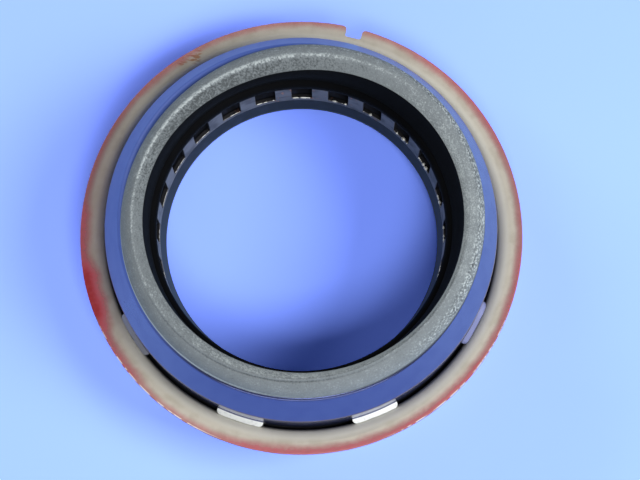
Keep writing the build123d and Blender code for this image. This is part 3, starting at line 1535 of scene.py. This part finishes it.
@dataclass
class NoseRing:
    """The rubber nose ring and its liner, with the grain that its mould left.

    The numbers that the mesh carries are relief, which is 0.5 on plain rubber and larger where it is
    paler, and black, which is 1 on the liner. Relief also holds painted light and shade, and black paints
    the shade in the crevice under the ring.

    Attributes:
        liner_radius, liner_outer: the bore of the liner at its foot, and its outside.
        mouth_radius, mouth_rise: the inner edge of the ring, and its height over the shield.
        crest_radius: the radius of the crest.
        mouth_bulge, slope_bulge: how far the slopes on each side of the crest are rounded.
        foot_rise: the outer edge over the shield.
        edge, crest_edge: the rounding of its edges and of its crest.
        undercut, under_rise: how far the foot is drawn in, and at what height over the shield.
        bleed, bleed_rise: how far the skin of rubber is bled from under it, and how thick that is.
        crown_radius, crown_bend: where the shield bends away under the ring, and how sharply.
        steepest: how far round that bend the rubber follows it, as a share of its radius.
        stiffness: how little of the slopes bends along with it.
        turns: how many pieces the ring is divided into.
        strays: where it was trimmed out of round.
        grain, fine_grain: the two sizes of the mould grain.
        grain_depth, grain_tone: how far the grain stands out, and how far it changes the relief.
        least_grain: how strong the grain is where it is weakest.
        blotches: the slow change of the grain round the ring.
        edge_highlight: where the painted highlight lies on the outer edge.
            side_shade, side_highlight: the relief on the outer edge, darker as painted shade, and what the
                highlight adds to it.
        outer_grain: where the grain is strong outside the crest.
        outer_blotch: how strong it is there without a blotch, and what a blotch adds.
        outer_start, outer_end: from where to where down that slope it grows and fades.
        outer_painted_light: where the rubber is paler there, as painted light.
        rim_highlight, rim_edge: what the painted highlight adds near the outer edge, and from where to where.
        inner_grain, inner_blotch, inner_start, inner_end: the same inside the crest.
        inner_painted_light_and_shade: where the rubber is paler or darker there, as painted light and shade.
        mouth_pale, mouth_edge: where the mouth is paler, as painted light, and from where to where towards
            it.
        fin_patch, fin_blotch: where the fin on the crest is, and how even it is.
        fin_width, fin_height, fin_highlight: its size, and how pale it is, as a painted highlight.
        crease_patch, crease_place, crease_width: where the crease beside the crest is, and its width.
        crease_depth, crease_shade: how deep it is, and how dark it is painted as shade.
        inner_length: the length of the inner slope, where the outer one is 1.
        bleed_shade: how dark the skin bled from under the ring is painted as shade, where no highlight lies.
    """

    liner_radius: float = 32.2 * MM
    liner_outer: float = 34.4 * MM
    mouth_radius: float = 32.9 * MM
    mouth_rise: float = 2.1 * MM
    crest_radius: float = 35.2 * MM
    mouth_bulge: float = 0.15 * MM
    slope_bulge: float = 0.45 * MM
    foot_rise: float = 0.9 * MM
    edge: float = 0.16 * MM
    crest_edge: float = 0.1 * MM
    undercut: float = 0.05 * MM
    under_rise: float = 0.2 * MM
    bleed: float = 0.14 * MM
    bleed_rise: float = 0.04 * MM
    crown_radius: float = 37.26 * MM
    crown_bend: float = 1.4 * MM
    steepest: float = 0.9
    stiffness: int = 4
    turns: int = 1080
    strays: tuple[Stray, ...] = (
        Stray(-90, 45, mouth=-0.25 * MM, crest=-0.4 * MM, rim=-0.3 * MM),
        Stray(-30, 50, mouth=0.5 * MM, crest=-1.1 * MM),
        Stray(5, 42, mouth=0.6 * MM, crest=-0.2 * MM, rim=0.4 * MM, sink=1.0 * MM),
        Stray(45, 36, mouth=0.45 * MM, crest=0.2 * MM, rim=0.7 * MM, sink=0.4 * MM),
        Stray(108, 44, mouth=-1.85 * MM),
        Stray(134, 44, rim=-1.3 * MM),
    )
    grain: Ripple = Ripple(0.36 * MM)
    fine_grain: Ripple = Ripple(0.36 * MM * 0.45, 0.5)
    grain_depth: float = 0.12 * MM
    grain_tone: float = 0.75
    least_grain: float = 0.14
    blotches: Ripple = Ripple(9 * MM)
    edge_highlight: Patch = Patch(215, 55)
    side_shade: float = 0.4
    side_highlight: float = 0.6
    outer_grain: Patch = Patch(22, 75)
    outer_blotch: Span = (0.7, 0.6)
    outer_start: Span = (0.25, 0.5)
    outer_end: Span = (0.88, 1.0)
    outer_painted_light: tuple[Patch, ...] = (Patch(5, 50, 0.10), Patch(140, 50, 0.06))
    rim_highlight: float = 0.4
    rim_edge: Span = (0.93, 1.0)
    inner_grain: tuple[Patch, ...] = (Patch(140, 80, 0.36), Patch(285, 60, 0.3))
    inner_blotch: Span = (0.5, 0.8)
    inner_start: Span = (0.0, 0.12)
    inner_end: Span = (0.8, 1.0)
    inner_painted_light_and_shade: tuple[Patch, ...] = (Patch(285, 62, 0.24), Patch(20, 48, 0.12), Patch(125, 55, -0.28))
    mouth_pale: Patch = Patch(318, 34, 0.3)
    mouth_edge: Span = (0.7, 0.3)
    fin_patch: Patch = Patch(125, 52)
    fin_blotch: Span = (0.9, 0.6)
    fin_width: float = 0.1
    fin_height: float = 0.05 * MM
    fin_highlight: float = 0.45
    crease_patch: Patch = Patch(258, 50)
    crease_place: float = 0.115
    crease_width: float = 0.04
    crease_depth: float = 0.10 * MM
    crease_shade: float = 0.3
    inner_length: float = 0.6
    bleed_shade: float = 0.55

    def make(self) -> bpy.types.Object:
        """Makes the nose ring.

        Returns:
            The ring with its liner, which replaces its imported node.
        """
        low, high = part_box("nose_ring")
        shield_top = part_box("dust_shield")[1].z
        outer_radius = high.x
        bled = outer_radius + self.bleed
        section = Section((self.liner_outer, low.z), [
            Run((self.liner_radius, low.z), 2, 0.0, self.edge, 3),
            Run((self.mouth_radius, shield_top + self.mouth_rise), 6, 0.0, self.edge, 4),
            Run((self.crest_radius, high.z), 16, self.mouth_bulge, self.crest_edge, 3),
            Run((outer_radius, shield_top + self.foot_rise), 32, self.slope_bulge, self.edge, 4),
            Run((outer_radius - self.undercut, shield_top + self.under_rise), 3),
            Run((bled, shield_top + self.bleed_rise), 2),
            Run((bled, shield_top)),
            Run((self.liner_outer, shield_top)),
            Run((self.liner_outer, low.z)),
        ], closed=True)
        normals = section.normals()
        skin = Skin()
        rows = []
        for turn in range(self.turns):
            azimuth = 360 * turn / self.turns
            row = []
            for point, normal, (run, share) in zip(section.points, normals, section.marks):
                place = Vector((point.x * cos(radians(azimuth)), point.x * sin(radians(azimuth)), point.y))
                lift, relief = self.relief(azimuth, run, share, place)
                spot = self.trimmed(azimuth, run, point, low.z, shield_top, outer_radius) + normal * lift
                black = self.black(azimuth, run)
                row.append(skin.vertex(azimuth, spot.x, spot.y, relief=relief, black=black))
            rows.append(row)
        skin.weave(rows, True, True)
        piece = skin.build("nose", Finish.nose_rubber)
        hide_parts("nose_ring")
        return piece

    def black(self, azimuth: float, run: int) -> float:
        """Says how black the rubber is.

        Args:
            azimuth: the azimuth.
            run: the stretch of the section.

        Returns:
            A number from 0 to 1.
        """
        if run <= NoseRun.liner:
            return 1.0
        # The bled skin is painted dark as the shade in the crevice under the ring, but not under the painted
        # highlight.
        if run in (NoseRun.bleed, NoseRun.bleed_edge):
            return self.bleed_shade * (1 - self.edge_highlight.at(azimuth))
        return 0.0

    def trimmed(
        self, azimuth: float, run: int, point: Vector, foot: float, shield_top: float, outer_radius: float
    ) -> Vector:
        """Moves one point of the section to where the trimmed rubber has it.

        Args:
            azimuth: the azimuth.
            run: the stretch of the section that the point lies on.
            point: the point of the round section.
            foot: the foot of the liner.
            shield_top: the top of the shield.
            outer_radius: the outer edge of the round section.

        Returns:
            The moved point.
        """
        if run >= NoseRun.seat:
            return point
        mouth, crest, rim, sink = (
            sum(getattr(stray, edge) * swell(azimuth, stray.azimuth, stray.spread) for stray in self.strays)
            for edge in ("mouth", "crest", "rim", "sink")
        )
        if run <= NoseRun.liner:
            return point + Vector((mouth * ramp(point.y, foot, shield_top), 0))
        outward = min(1.0, (point.x - self.mouth_radius) / (outer_radius - self.mouth_radius))
        middle = (self.crest_radius - self.mouth_radius) / (outer_radius - self.mouth_radius)
        tent = outward / middle if outward < middle else (1 - outward) / (1 - middle)
        radius = point.x + mouth * (1 - outward) + rim * outward + crest * tent
        past = min(max(0.0, radius - self.crown_radius), self.steepest * self.crown_bend)
        droop = self.crown_bend - sqrt(self.crown_bend**2 - past**2)
        follow = outward**self.stiffness if run < NoseRun.side else 1.0
        return Vector((radius, point.y - droop * follow - sink * tent))

    def outer_slope(self, azimuth: float, share: float, blotch: float) -> tuple[float, float]:
        """Gives the grain and the tone on the slope outside the crest.

        Args:
            azimuth: the azimuth.
            share: how far down the slope, from 0 at the crest to 1 at the outer edge.
            blotch: the slow change of the grain there.

        Returns:
            How strong the grain is, and how much paler the rubber is.
        """
        plain, gain = self.outer_blotch
        strength = ramp(share, *self.outer_start) * self.outer_grain.at(azimuth) * (plain + gain * blotch)
        strength *= 1 - ramp(share, *self.outer_end)
        # The tones round the turn are painted light.
        tone = sum(patch.at(azimuth) for patch in self.outer_painted_light)
        tone += self.rim_highlight * self.edge_highlight.at(azimuth) * ramp(share, *self.rim_edge)
        return max(strength, self.least_grain), tone

    def inner_slope(self, azimuth: float, share: float, blotch: float) -> tuple[float, float]:
        """Gives the grain and the tone on the slope inside the crest.

        Args:
            azimuth: the azimuth.
            share: how far up the slope, from 0 at the mouth to 1 at the crest.
            blotch: the slow change of the grain there.

        Returns:
            How strong the grain is, and how much paler the rubber is.
        """
        plain, gain = self.inner_blotch
        strong = sum(patch.at(azimuth) for patch in self.inner_grain)
        strength = self.least_grain + strong * (plain + gain * blotch)
        strength *= ramp(share, *self.inner_start)
        # The tones round the turn and at the mouth are painted light and shade.
        tone = sum(patch.at(azimuth) for patch in self.inner_painted_light_and_shade)
        tone += self.mouth_pale.at(azimuth) * ramp(share, *self.mouth_edge)
        tone *= 1 - ramp(share, *self.inner_end)
        return strength, tone

    def relief(self, azimuth: float, run: int, share: float, place: Vector) -> tuple[float, float]:
        """Gives the grain, the crease and the fin at one point of the nose.

        Args:
            azimuth: its azimuth.
            run: the stretch of the section that it lies on.
            share: how far along that stretch it lies.
            place: the point itself.

        Returns:
            How far the rubber stands out there, and a number round 0.5 for the finish.
        """
        # The outer edge is painted darker as shade, and lighter where its painted highlight lies.
        if run in (NoseRun.side, NoseRun.bleed, NoseRun.bleed_edge):
            return 0.0, self.side_shade + self.side_highlight * self.edge_highlight.at(azimuth)
        if run not in (NoseRun.inner_slope, NoseRun.outer_slope):
            return 0.0, 0.5
        fine = self.grain.at(place) + self.fine_grain.at(place)
        blotch = 0.5 + self.blotches.at(place)
        if run == NoseRun.outer_slope:
            strength, tone = self.outer_slope(azimuth, share, blotch)
            beside = share
        else:
            strength, tone = self.inner_slope(azimuth, share, blotch)
            beside = (share - 1) * self.inner_length
        plain, gain = self.fin_blotch
        fin = exp(-((beside / self.fin_width) ** 2)) * self.fin_patch.at(azimuth) * (plain + gain * fine)
        aside = (beside - self.crease_place) / self.crease_width
        crease = exp(-(aside**2)) * self.crease_patch.at(azimuth)
        lift = self.grain_depth * strength * fine
        lift += self.fin_height * fin - self.crease_depth * crease
        relief = 0.5 + tone + self.grain_tone * strength * fine
        # The fin on the crest is painted pale as a highlight, and the crease beside it dark as shade.
        return lift, relief + self.fin_highlight * fin - self.crease_shade * crease


@dataclass
class GarterSpring:
    """The garter spring: wire wound in close turns and closed to a ring.

    Attributes:
        wire: the thickness of the wire.
        turns: how many turns it has.
        steps: how many pieces a turn is divided into.
        sides: how many sides the wire has.
    """

    wire: float = 0.5 * MM
    turns: int = 400
    steps: int = 14
    sides: int = 6

    def make(self) -> bpy.types.Object:
        """Makes the spring.

        Returns:
            The coil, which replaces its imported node.
        """
        low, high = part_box("garter_spring")
        coil = (high.z - low.z) / 2
        height = (high.z + low.z) / 2
        ring = high.x - coil
        arm = coil - self.wire / 2
        skin = Skin()
        rows = []
        for step in range(self.turns * self.steps):
            around = 360 * step / (self.turns * self.steps)
            swing = 2 * pi * step / self.steps
            row = []
            for side in range(self.sides):
                bend = 2 * pi * side / self.sides
                reach = arm + self.wire / 2 * cos(bend)
                aside = degrees(self.wire / 2 * sin(bend) / ring)
                row.append(
                    skin.vertex(around + aside, ring + reach * cos(swing), height + reach * sin(swing))
                )
            rows.append(row)
        skin.weave(rows, True, True)
        piece = skin.build("spring_coil", Finish.spring_steel)
        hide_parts("garter_spring")
        return piece


@dataclass(frozen=True)
class Smear:
    """A place where the sealant ran in over the face of the flange.

    Attributes:
        azimuth, spread: where it lies, and how far it reaches to each side.
        reach: how far it comes in from the rim.
        depth: how thick it lies, from 0 to 1.
    """

    azimuth: float
    spread: float
    reach: float
    depth: float


@dataclass(frozen=True)
class FilmPoint:
    """A point of the metal under the film.

    Attributes:
        inward: its distance in from the rim.
        spot: its radius and height.
        outward: the direction out of the metal.
        cover: how thick the film lies, from 0 to 1, or None where the smears say so.
    """

    inward: float
    spot: Vector
    outward: Vector
    cover: float | None = None


@dataclass
class SealantFilm:
    """The red film on the outside of the case: wall, underside of the flange, rim, and a ragged margin.

    Attributes:
        wall_radius: the outside of the case.
        sheet: the thickness of its sheet.
        roll: the radius of its mouth.
        foot: how far down the wall the film reaches.
        thin, thick: the least and the usual thickness.
        lumps, coarse_lumps: the two sizes of its lumps.
        level: how thick it is between the lumps.
        margin: how far in from the rim the film is made.
        margin_steps, rim_steps: how many pieces it is divided into, past the notch's depth and within it.
        rim_shares, rim_cover: where the edge of the rim is divided, and the cover there at its top.
        rim_gain: how much more cover the edge has at its foot.
        edge_cover, under_cover, wall_cover, foot_cover: the cover from the edge down to the foot.
        wall_steps: how many pieces the wall is divided into.
        push, corner_push: how far the film stands off at an outer and at an inner corner.
        notch_azimuth, notch_width, notch_depth: the notch in the rim.
        notch_flare, flare_reach: the radius of its mouth, and how many degrees beside it follow that.
        notch_slack, snap: by how many degrees the film keeps off the notch, and how near a line moves to it.
        turns: how many pieces the film is divided into round the turn.
        rag, fray: the two sizes of the ragged margin.
        smears: where it ran in over the face.
        narrow: how much of its reach a smear has where it ends.
        flat_top: how far a smear is stretched so that its middle is even.
        fade: how sharply a smear ends.
    """

    wall_radius: float = 44.0 * MM
    sheet: float = 1.4 * MM
    roll: float = 3.0 * MM
    foot: float = 4.2 * MM
    thin: float = 0.02 * MM
    thick: float = 0.12 * MM
    lumps: Ripple = Ripple(0.7 * MM, 0.5)
    coarse_lumps: Ripple = Ripple(2.5 * MM, 0.4)
    level: float = 0.75
    margin: float = 4.6 * MM
    margin_steps: int = 14
    rim_steps: int = 16
    rim_shares: tuple[float, ...] = (0.15, 0.4, 0.65, 0.9)
    rim_cover: float = 0.45
    rim_gain: float = 0.2
    edge_cover: float = 0.8
    under_cover: float = 0.9
    wall_cover: float = 0.95
    foot_cover: float = 0.4
    wall_steps: int = 8
    push: float = 0.7
    corner_push: float = 1.6
    notch_azimuth: float = 75.7
    notch_width: float = 3.6 * MM
    notch_depth: float = 2.3 * MM
    notch_flare: float = 0.7 * MM
    flare_reach: float = 1.2
    notch_slack: float = 0.12
    snap: float = 0.126
    turns: int = 1440
    rag: Ripple = Ripple(3.2 * MM, 0.18)
    fray: Ripple = Ripple(0.9 * MM, 0.08)
    smears: tuple[Smear, ...] = (
        Smear(0, 1e6, 1.9 * MM, 0.40),
        Smear(197, 12, 4.4 * MM, 1.0),
        Smear(181, 12, 3.0 * MM, 0.62),
        Smear(214, 14, 2.8 * MM, 0.52),
        Smear(131, 16, 2.2 * MM, 0.46),
        Smear(40, 30, 2.3 * MM, 0.50),
        Smear(-20, 26, 2.3 * MM, 0.50),
        Smear(-55, 34, 2.4 * MM, 0.64),
        Smear(-88, 30, 2.5 * MM, 0.64),
    )
    narrow: float = 0.35
    flat_top: float = 1.25
    fade: float = 0.15

    def cover(self, azimuth: float, inward: float, place: Vector) -> float:
        """Says how thick the film lies on the face.

        Args:
            azimuth: the azimuth.
            inward: the distance in from the rim.
            place: the point itself.

        Returns:
            A number from 0 to 1.
        """
        ragged = 1 + self.rag.at(place) + self.fray.at(place)
        found = 0.0
        for smear in self.smears:
            strength = smear.depth * min(1.0, self.flat_top * swell(azimuth, smear.azimuth, smear.spread))
            reach = smear.reach * ragged * (self.narrow + (1 - self.narrow) * strength / smear.depth)
            found = max(found, strength * ramp(inward, reach, self.fade * reach * strength**3))
        return found

    def path(self) -> list[FilmPoint]:
        """Lists the points of the metal under the film, from the mouth round the rim and down the wall.

        Returns:
            The points, in that order.
        """
        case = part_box("outer_case")[1]
        rim, top, under = case.x, case.z, case.z - self.sheet
        flat = rim - (self.wall_radius - self.sheet + self.roll)
        inwards = [
            self.notch_depth + (self.margin - self.notch_depth) * (1 - step / self.margin_steps)
            for step in range(self.margin_steps)
        ]
        inwards += [self.notch_depth * (1 - step / self.rim_steps) for step in range(self.rim_steps)]
        points = []
        for inward in inwards:
            over = max(0.0, inward - flat) / self.roll
            radius = rim - min(inward, flat) - self.roll * sin(over)
            spot = Vector((radius, top - self.roll * (1 - cos(over))))
            points.append(FilmPoint(inward, spot, Vector((-sin(over), cos(over)))))
        points.append(FilmPoint(0.0, Vector((rim, top)), Vector((self.push, self.push))))
        for share in self.rim_shares:
            cover = self.rim_cover + self.rim_gain * share
            points.append(FilmPoint(0.0, Vector((rim, top - self.sheet * share)), Vector((1, 0)), cover))
        points.append(FilmPoint(0.0, Vector((rim, under)), Vector((self.push, -self.push)), self.edge_cover))
        width = rim - self.wall_radius
        down = Vector((0, -1))
        underside = [share * self.notch_depth for share in (0.3, 0.65, 1.0)]
        underside += [share * width for share in (0.8, 0.95)]
        for inward in underside:
            points.append(FilmPoint(inward, Vector((rim - inward, under)), down, self.under_cover))
        corner = Vector((self.corner_push, -self.corner_push))
        points.append(FilmPoint(width, Vector((self.wall_radius, under)), corner, self.under_cover))
        for step in range(1, self.wall_steps + 1):
            spot = Vector((self.wall_radius, under + (self.foot - under) * step / self.wall_steps))
            cover = self.wall_cover if step < self.wall_steps else self.foot_cover
            points.append(FilmPoint(width, spot, Vector((1, 0)), cover))
        return points

    def flared(self, azimuth: float, inward: float, half_notch: float) -> float:
        """Moves an azimuth line beside the notch along with the flare of its mouth.

        Args:
            azimuth: the azimuth of the line.
            inward: the distance in from the rim.
            half_notch: half the notch, in degrees.

        Returns:
            The azimuth at that distance.
        """
        off = apart(azimuth, self.notch_azimuth)
        widening = degrees(inset(self.notch_flare, inward) / (self.wall_radius + self.notch_flare))
        beside = exp(-(((abs(off) - half_notch) / self.flare_reach) ** 2))
        return azimuth + widening * beside * (1 if off > 0 else -1)

    def lines(self, half_notch: float) -> list[float]:
        """Gives the azimuth lines, two of which run along the sides of the notch.

        Args:
            half_notch: half the notch, in degrees.

        Returns:
            The azimuths.
        """
        found = []
        for step in range(self.turns):
            azimuth = 360 * step / self.turns
            off = apart(azimuth, self.notch_azimuth)
            if abs(abs(off) - half_notch) < self.snap:
                azimuth += (half_notch - abs(off)) * (1 if off > 0 else -1)
            found.append(azimuth)
        return found

    def make(self) -> bpy.types.Object:
        """Makes the film.

        Returns:
            The film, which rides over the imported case.
        """
        path = self.path()
        rim = path[-1].inward + self.wall_radius
        half_notch = degrees(self.notch_width / 2 / rim) + self.notch_slack
        lines = self.lines(half_notch)
        skin = Skin()
        rows = []
        for line in lines:
            row = []
            for point in path:
                azimuth = self.flared(line, point.inward, half_notch)
                turn = radians(azimuth)
                place = Vector((point.spot.x * cos(turn), point.spot.x * sin(turn), point.spot.y))
                cover = self.cover(azimuth, point.inward, place) if point.cover is None else point.cover
                lumps = self.level + self.lumps.at(place) + self.coarse_lumps.at(place)
                spot = point.spot + point.outward * (self.thin + self.thick * cover * lumps)
                row.append(skin.vertex(azimuth, spot.x, spot.y, cover=cover))
            rows.append(row)
        in_notch = [point.inward <= self.notch_depth + 1e-9 for point in path]

        def keep(row: int, column: int) -> bool:
            """Leaves the notch open.

            Args:
                row, column: the place of a face.

            Returns:
                Whether it is made.
            """
            ahead = lines[row + 1] if row + 1 < len(lines) else 360.0
            inside = abs(apart((lines[row] + ahead) / 2, self.notch_azimuth)) < half_notch
            return not (inside and in_notch[column] and in_notch[column + 1])

        skin.weave(rows, True, False, keep)
        piece = skin.build("sealant_film", Finish.sealant_red)
        return piece


@dataclass(frozen=True)
class Lamp:
    """A soft rectangular lamp that points at the seal.

    At a power of (pi * distance) ** 2 it shows the colour of a surface that faces it as written.

    Attributes:
        name: the name of the lamp.
        azimuth, elevation: where it stands, seen from the seal.
        distance: how far away it stands.
        width, height: its size.
        level: how brightly it lights a surface that faces it, where 1 shows a colour as written.
        tint: its colour.
    """

    name: str
    azimuth: float
    elevation: float
    distance: float
    width: float
    height: float
    level: float
    tint: tuple[float, float, float] = (1.0, 1.0, 1.0)

    def place(self, aim: Vector) -> bpy.types.Object:
        """Puts the lamp in the scene.

        Args:
            aim: the point that it shines at.

        Returns:
            The lamp.
        """
        light = bpy.data.lights.new(self.name, "AREA")
        light.shape = "RECTANGLE"
        light.size = self.width
        light.size_y = self.height
        light.energy = self.level * pi**2 * self.distance**2
        light.color = self.tint
        lamp = bpy.data.objects.new(self.name, light)
        turn, rise = radians(self.azimuth), radians(self.elevation)
        away = Vector((cos(turn) * cos(rise), sin(turn) * cos(rise), sin(rise)))
        lamp.location = aim + away * self.distance
        lamp.rotation_euler = away.to_track_quat("Z", "Y").to_euler()
        lamp.visible_camera = False
        bpy.context.scene.collection.objects.link(lamp)
        return lamp


@dataclass
class Studio:
    """The pale table, the soft lamps and the camera.

    Attributes:
        table_radius, table_sides: the radius of the table, and how many sides it has.
        sky, sky_tone: the level and the colour of the light from all round.
        backdrop: the colour that the camera sees past the table.
        tilt: how far the camera leans from straight down.
        lens, sensor: the lens of the camera and the width of its sensor, in millimetres.
        distance, aside, ahead: where the camera stands, in rim radii, from the middle of the flange.
        lamps: the lamps.
    """

    table_radius: float = 1.6
    table_sides: int = 96
    sky: float = 0.05
    sky_tone: Colour = (0.94, 0.97, 1.0, 1.0)
    backdrop: Colour = shade(190, 217, 253)
    tilt: float = 11.75
    lens: float = 91.74
    sensor: float = 36.0
    distance: float = 7.386
    aside: float = 0.084
    ahead: float = -0.036
    lamps: tuple[Lamp, ...] = (
        Lamp("window_right", -10, 43, 0.9, 0.40, 0.36, 0.78),
        Lamp("window_high", -74, 61, 0.9, 0.34, 0.28, 0.54),
        Lamp("fill_left", 138, 28, 0.9, 0.60, 0.28, 0.42),
        Lamp("white_card", -88, 17, 0.7, 0.85, 0.15, 0.24),
    )

    def table(self) -> bpy.types.Object:
        """Makes the table.

        Returns:
            The table, which is part of the stage.
        """
        mesh = bpy.data.meshes.new("tabletop")
        turns = [2 * pi * side / self.table_sides for side in range(self.table_sides)]
        vertices = [(self.table_radius * cos(turn), self.table_radius * sin(turn), 0.0) for turn in turns]
        mesh.from_pydata(vertices, [], [tuple(range(self.table_sides))])
        mesh.materials.append(Finish.tabletop.value.make())
        table = bpy.data.objects.new("tabletop", mesh)
        bpy.context.scene.collection.objects.link(table)
        table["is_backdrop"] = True
        log.info("tabletop is %.1f m across", 2 * self.table_radius)
        return table

    def world(self) -> None:
        """Sets the even light from all round, and the pale backdrop that the camera sees."""
        world = bpy.data.worlds.new("studio")
        tree = Tree(world)
        path = tree.node("ShaderNodeLightPath").outputs
        light, backdrop = (
            tree.node("ShaderNodeBackground", {}, {"Color": colour, "Strength": strength}).outputs[0]
            for colour, strength in ((self.sky_tone, self.sky), (self.backdrop, 1.0))
        )
        mixed = tree.blend(path["Is Camera Ray"], light, backdrop)
        tree.node("ShaderNodeOutputWorld", {}, {0: mixed})
        bpy.context.scene.world = world

    def camera(self) -> bpy.types.Object:
        """Puts up the camera, almost straight over the seal.

        Returns:
            The camera.
        """
        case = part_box("outer_case")[1]
        lean = radians(self.tilt)
        up = Vector((0, cos(lean), sin(lean)))
        back = Vector((0, -sin(lean), cos(lean)))
        data = bpy.data.cameras.new("camera")
        data.lens = self.lens
        data.sensor_width = self.sensor
        camera = bpy.data.objects.new("camera", data)
        offset = Vector((self.aside, 0, 0)) + up * self.ahead + back * self.distance
        camera.location = Vector((0, 0, case.z)) + offset * case.x
        camera.rotation_euler = back.to_track_quat("Z", "Y").to_euler()
        bpy.context.scene.collection.objects.link(camera)
        bpy.context.scene.camera = camera
        return camera

    def set_up(self) -> None:
        """Sets up the whole studio."""
        self.table()
        self.world()
        middle = sum(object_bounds(), Vector()) / 2
        for lamp in self.lamps:
            lamp.place(middle)
        self.camera()
        bpy.context.scene.view_settings.view_transform = "Standard"


def main() -> None:
    """Builds the pieces in order."""
    logging.basicConfig(level=logging.INFO, format="%(name)s: %(message)s")
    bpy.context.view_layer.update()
    dress("outer_case", Finish.case_steel)
    dress("inner_case", Finish.carrier_steel)
    dress("seal_lip", Finish.lip_rubber)
    GarterSpring().make()
    sleeve = SlottedSleeve()
    sleeve.make()
    sleeve.burrs()
    DustShield().make()
    NoseRing().make()
    SealantFilm().make()
    Studio().set_up()


if __name__ == "__main__":
    main()
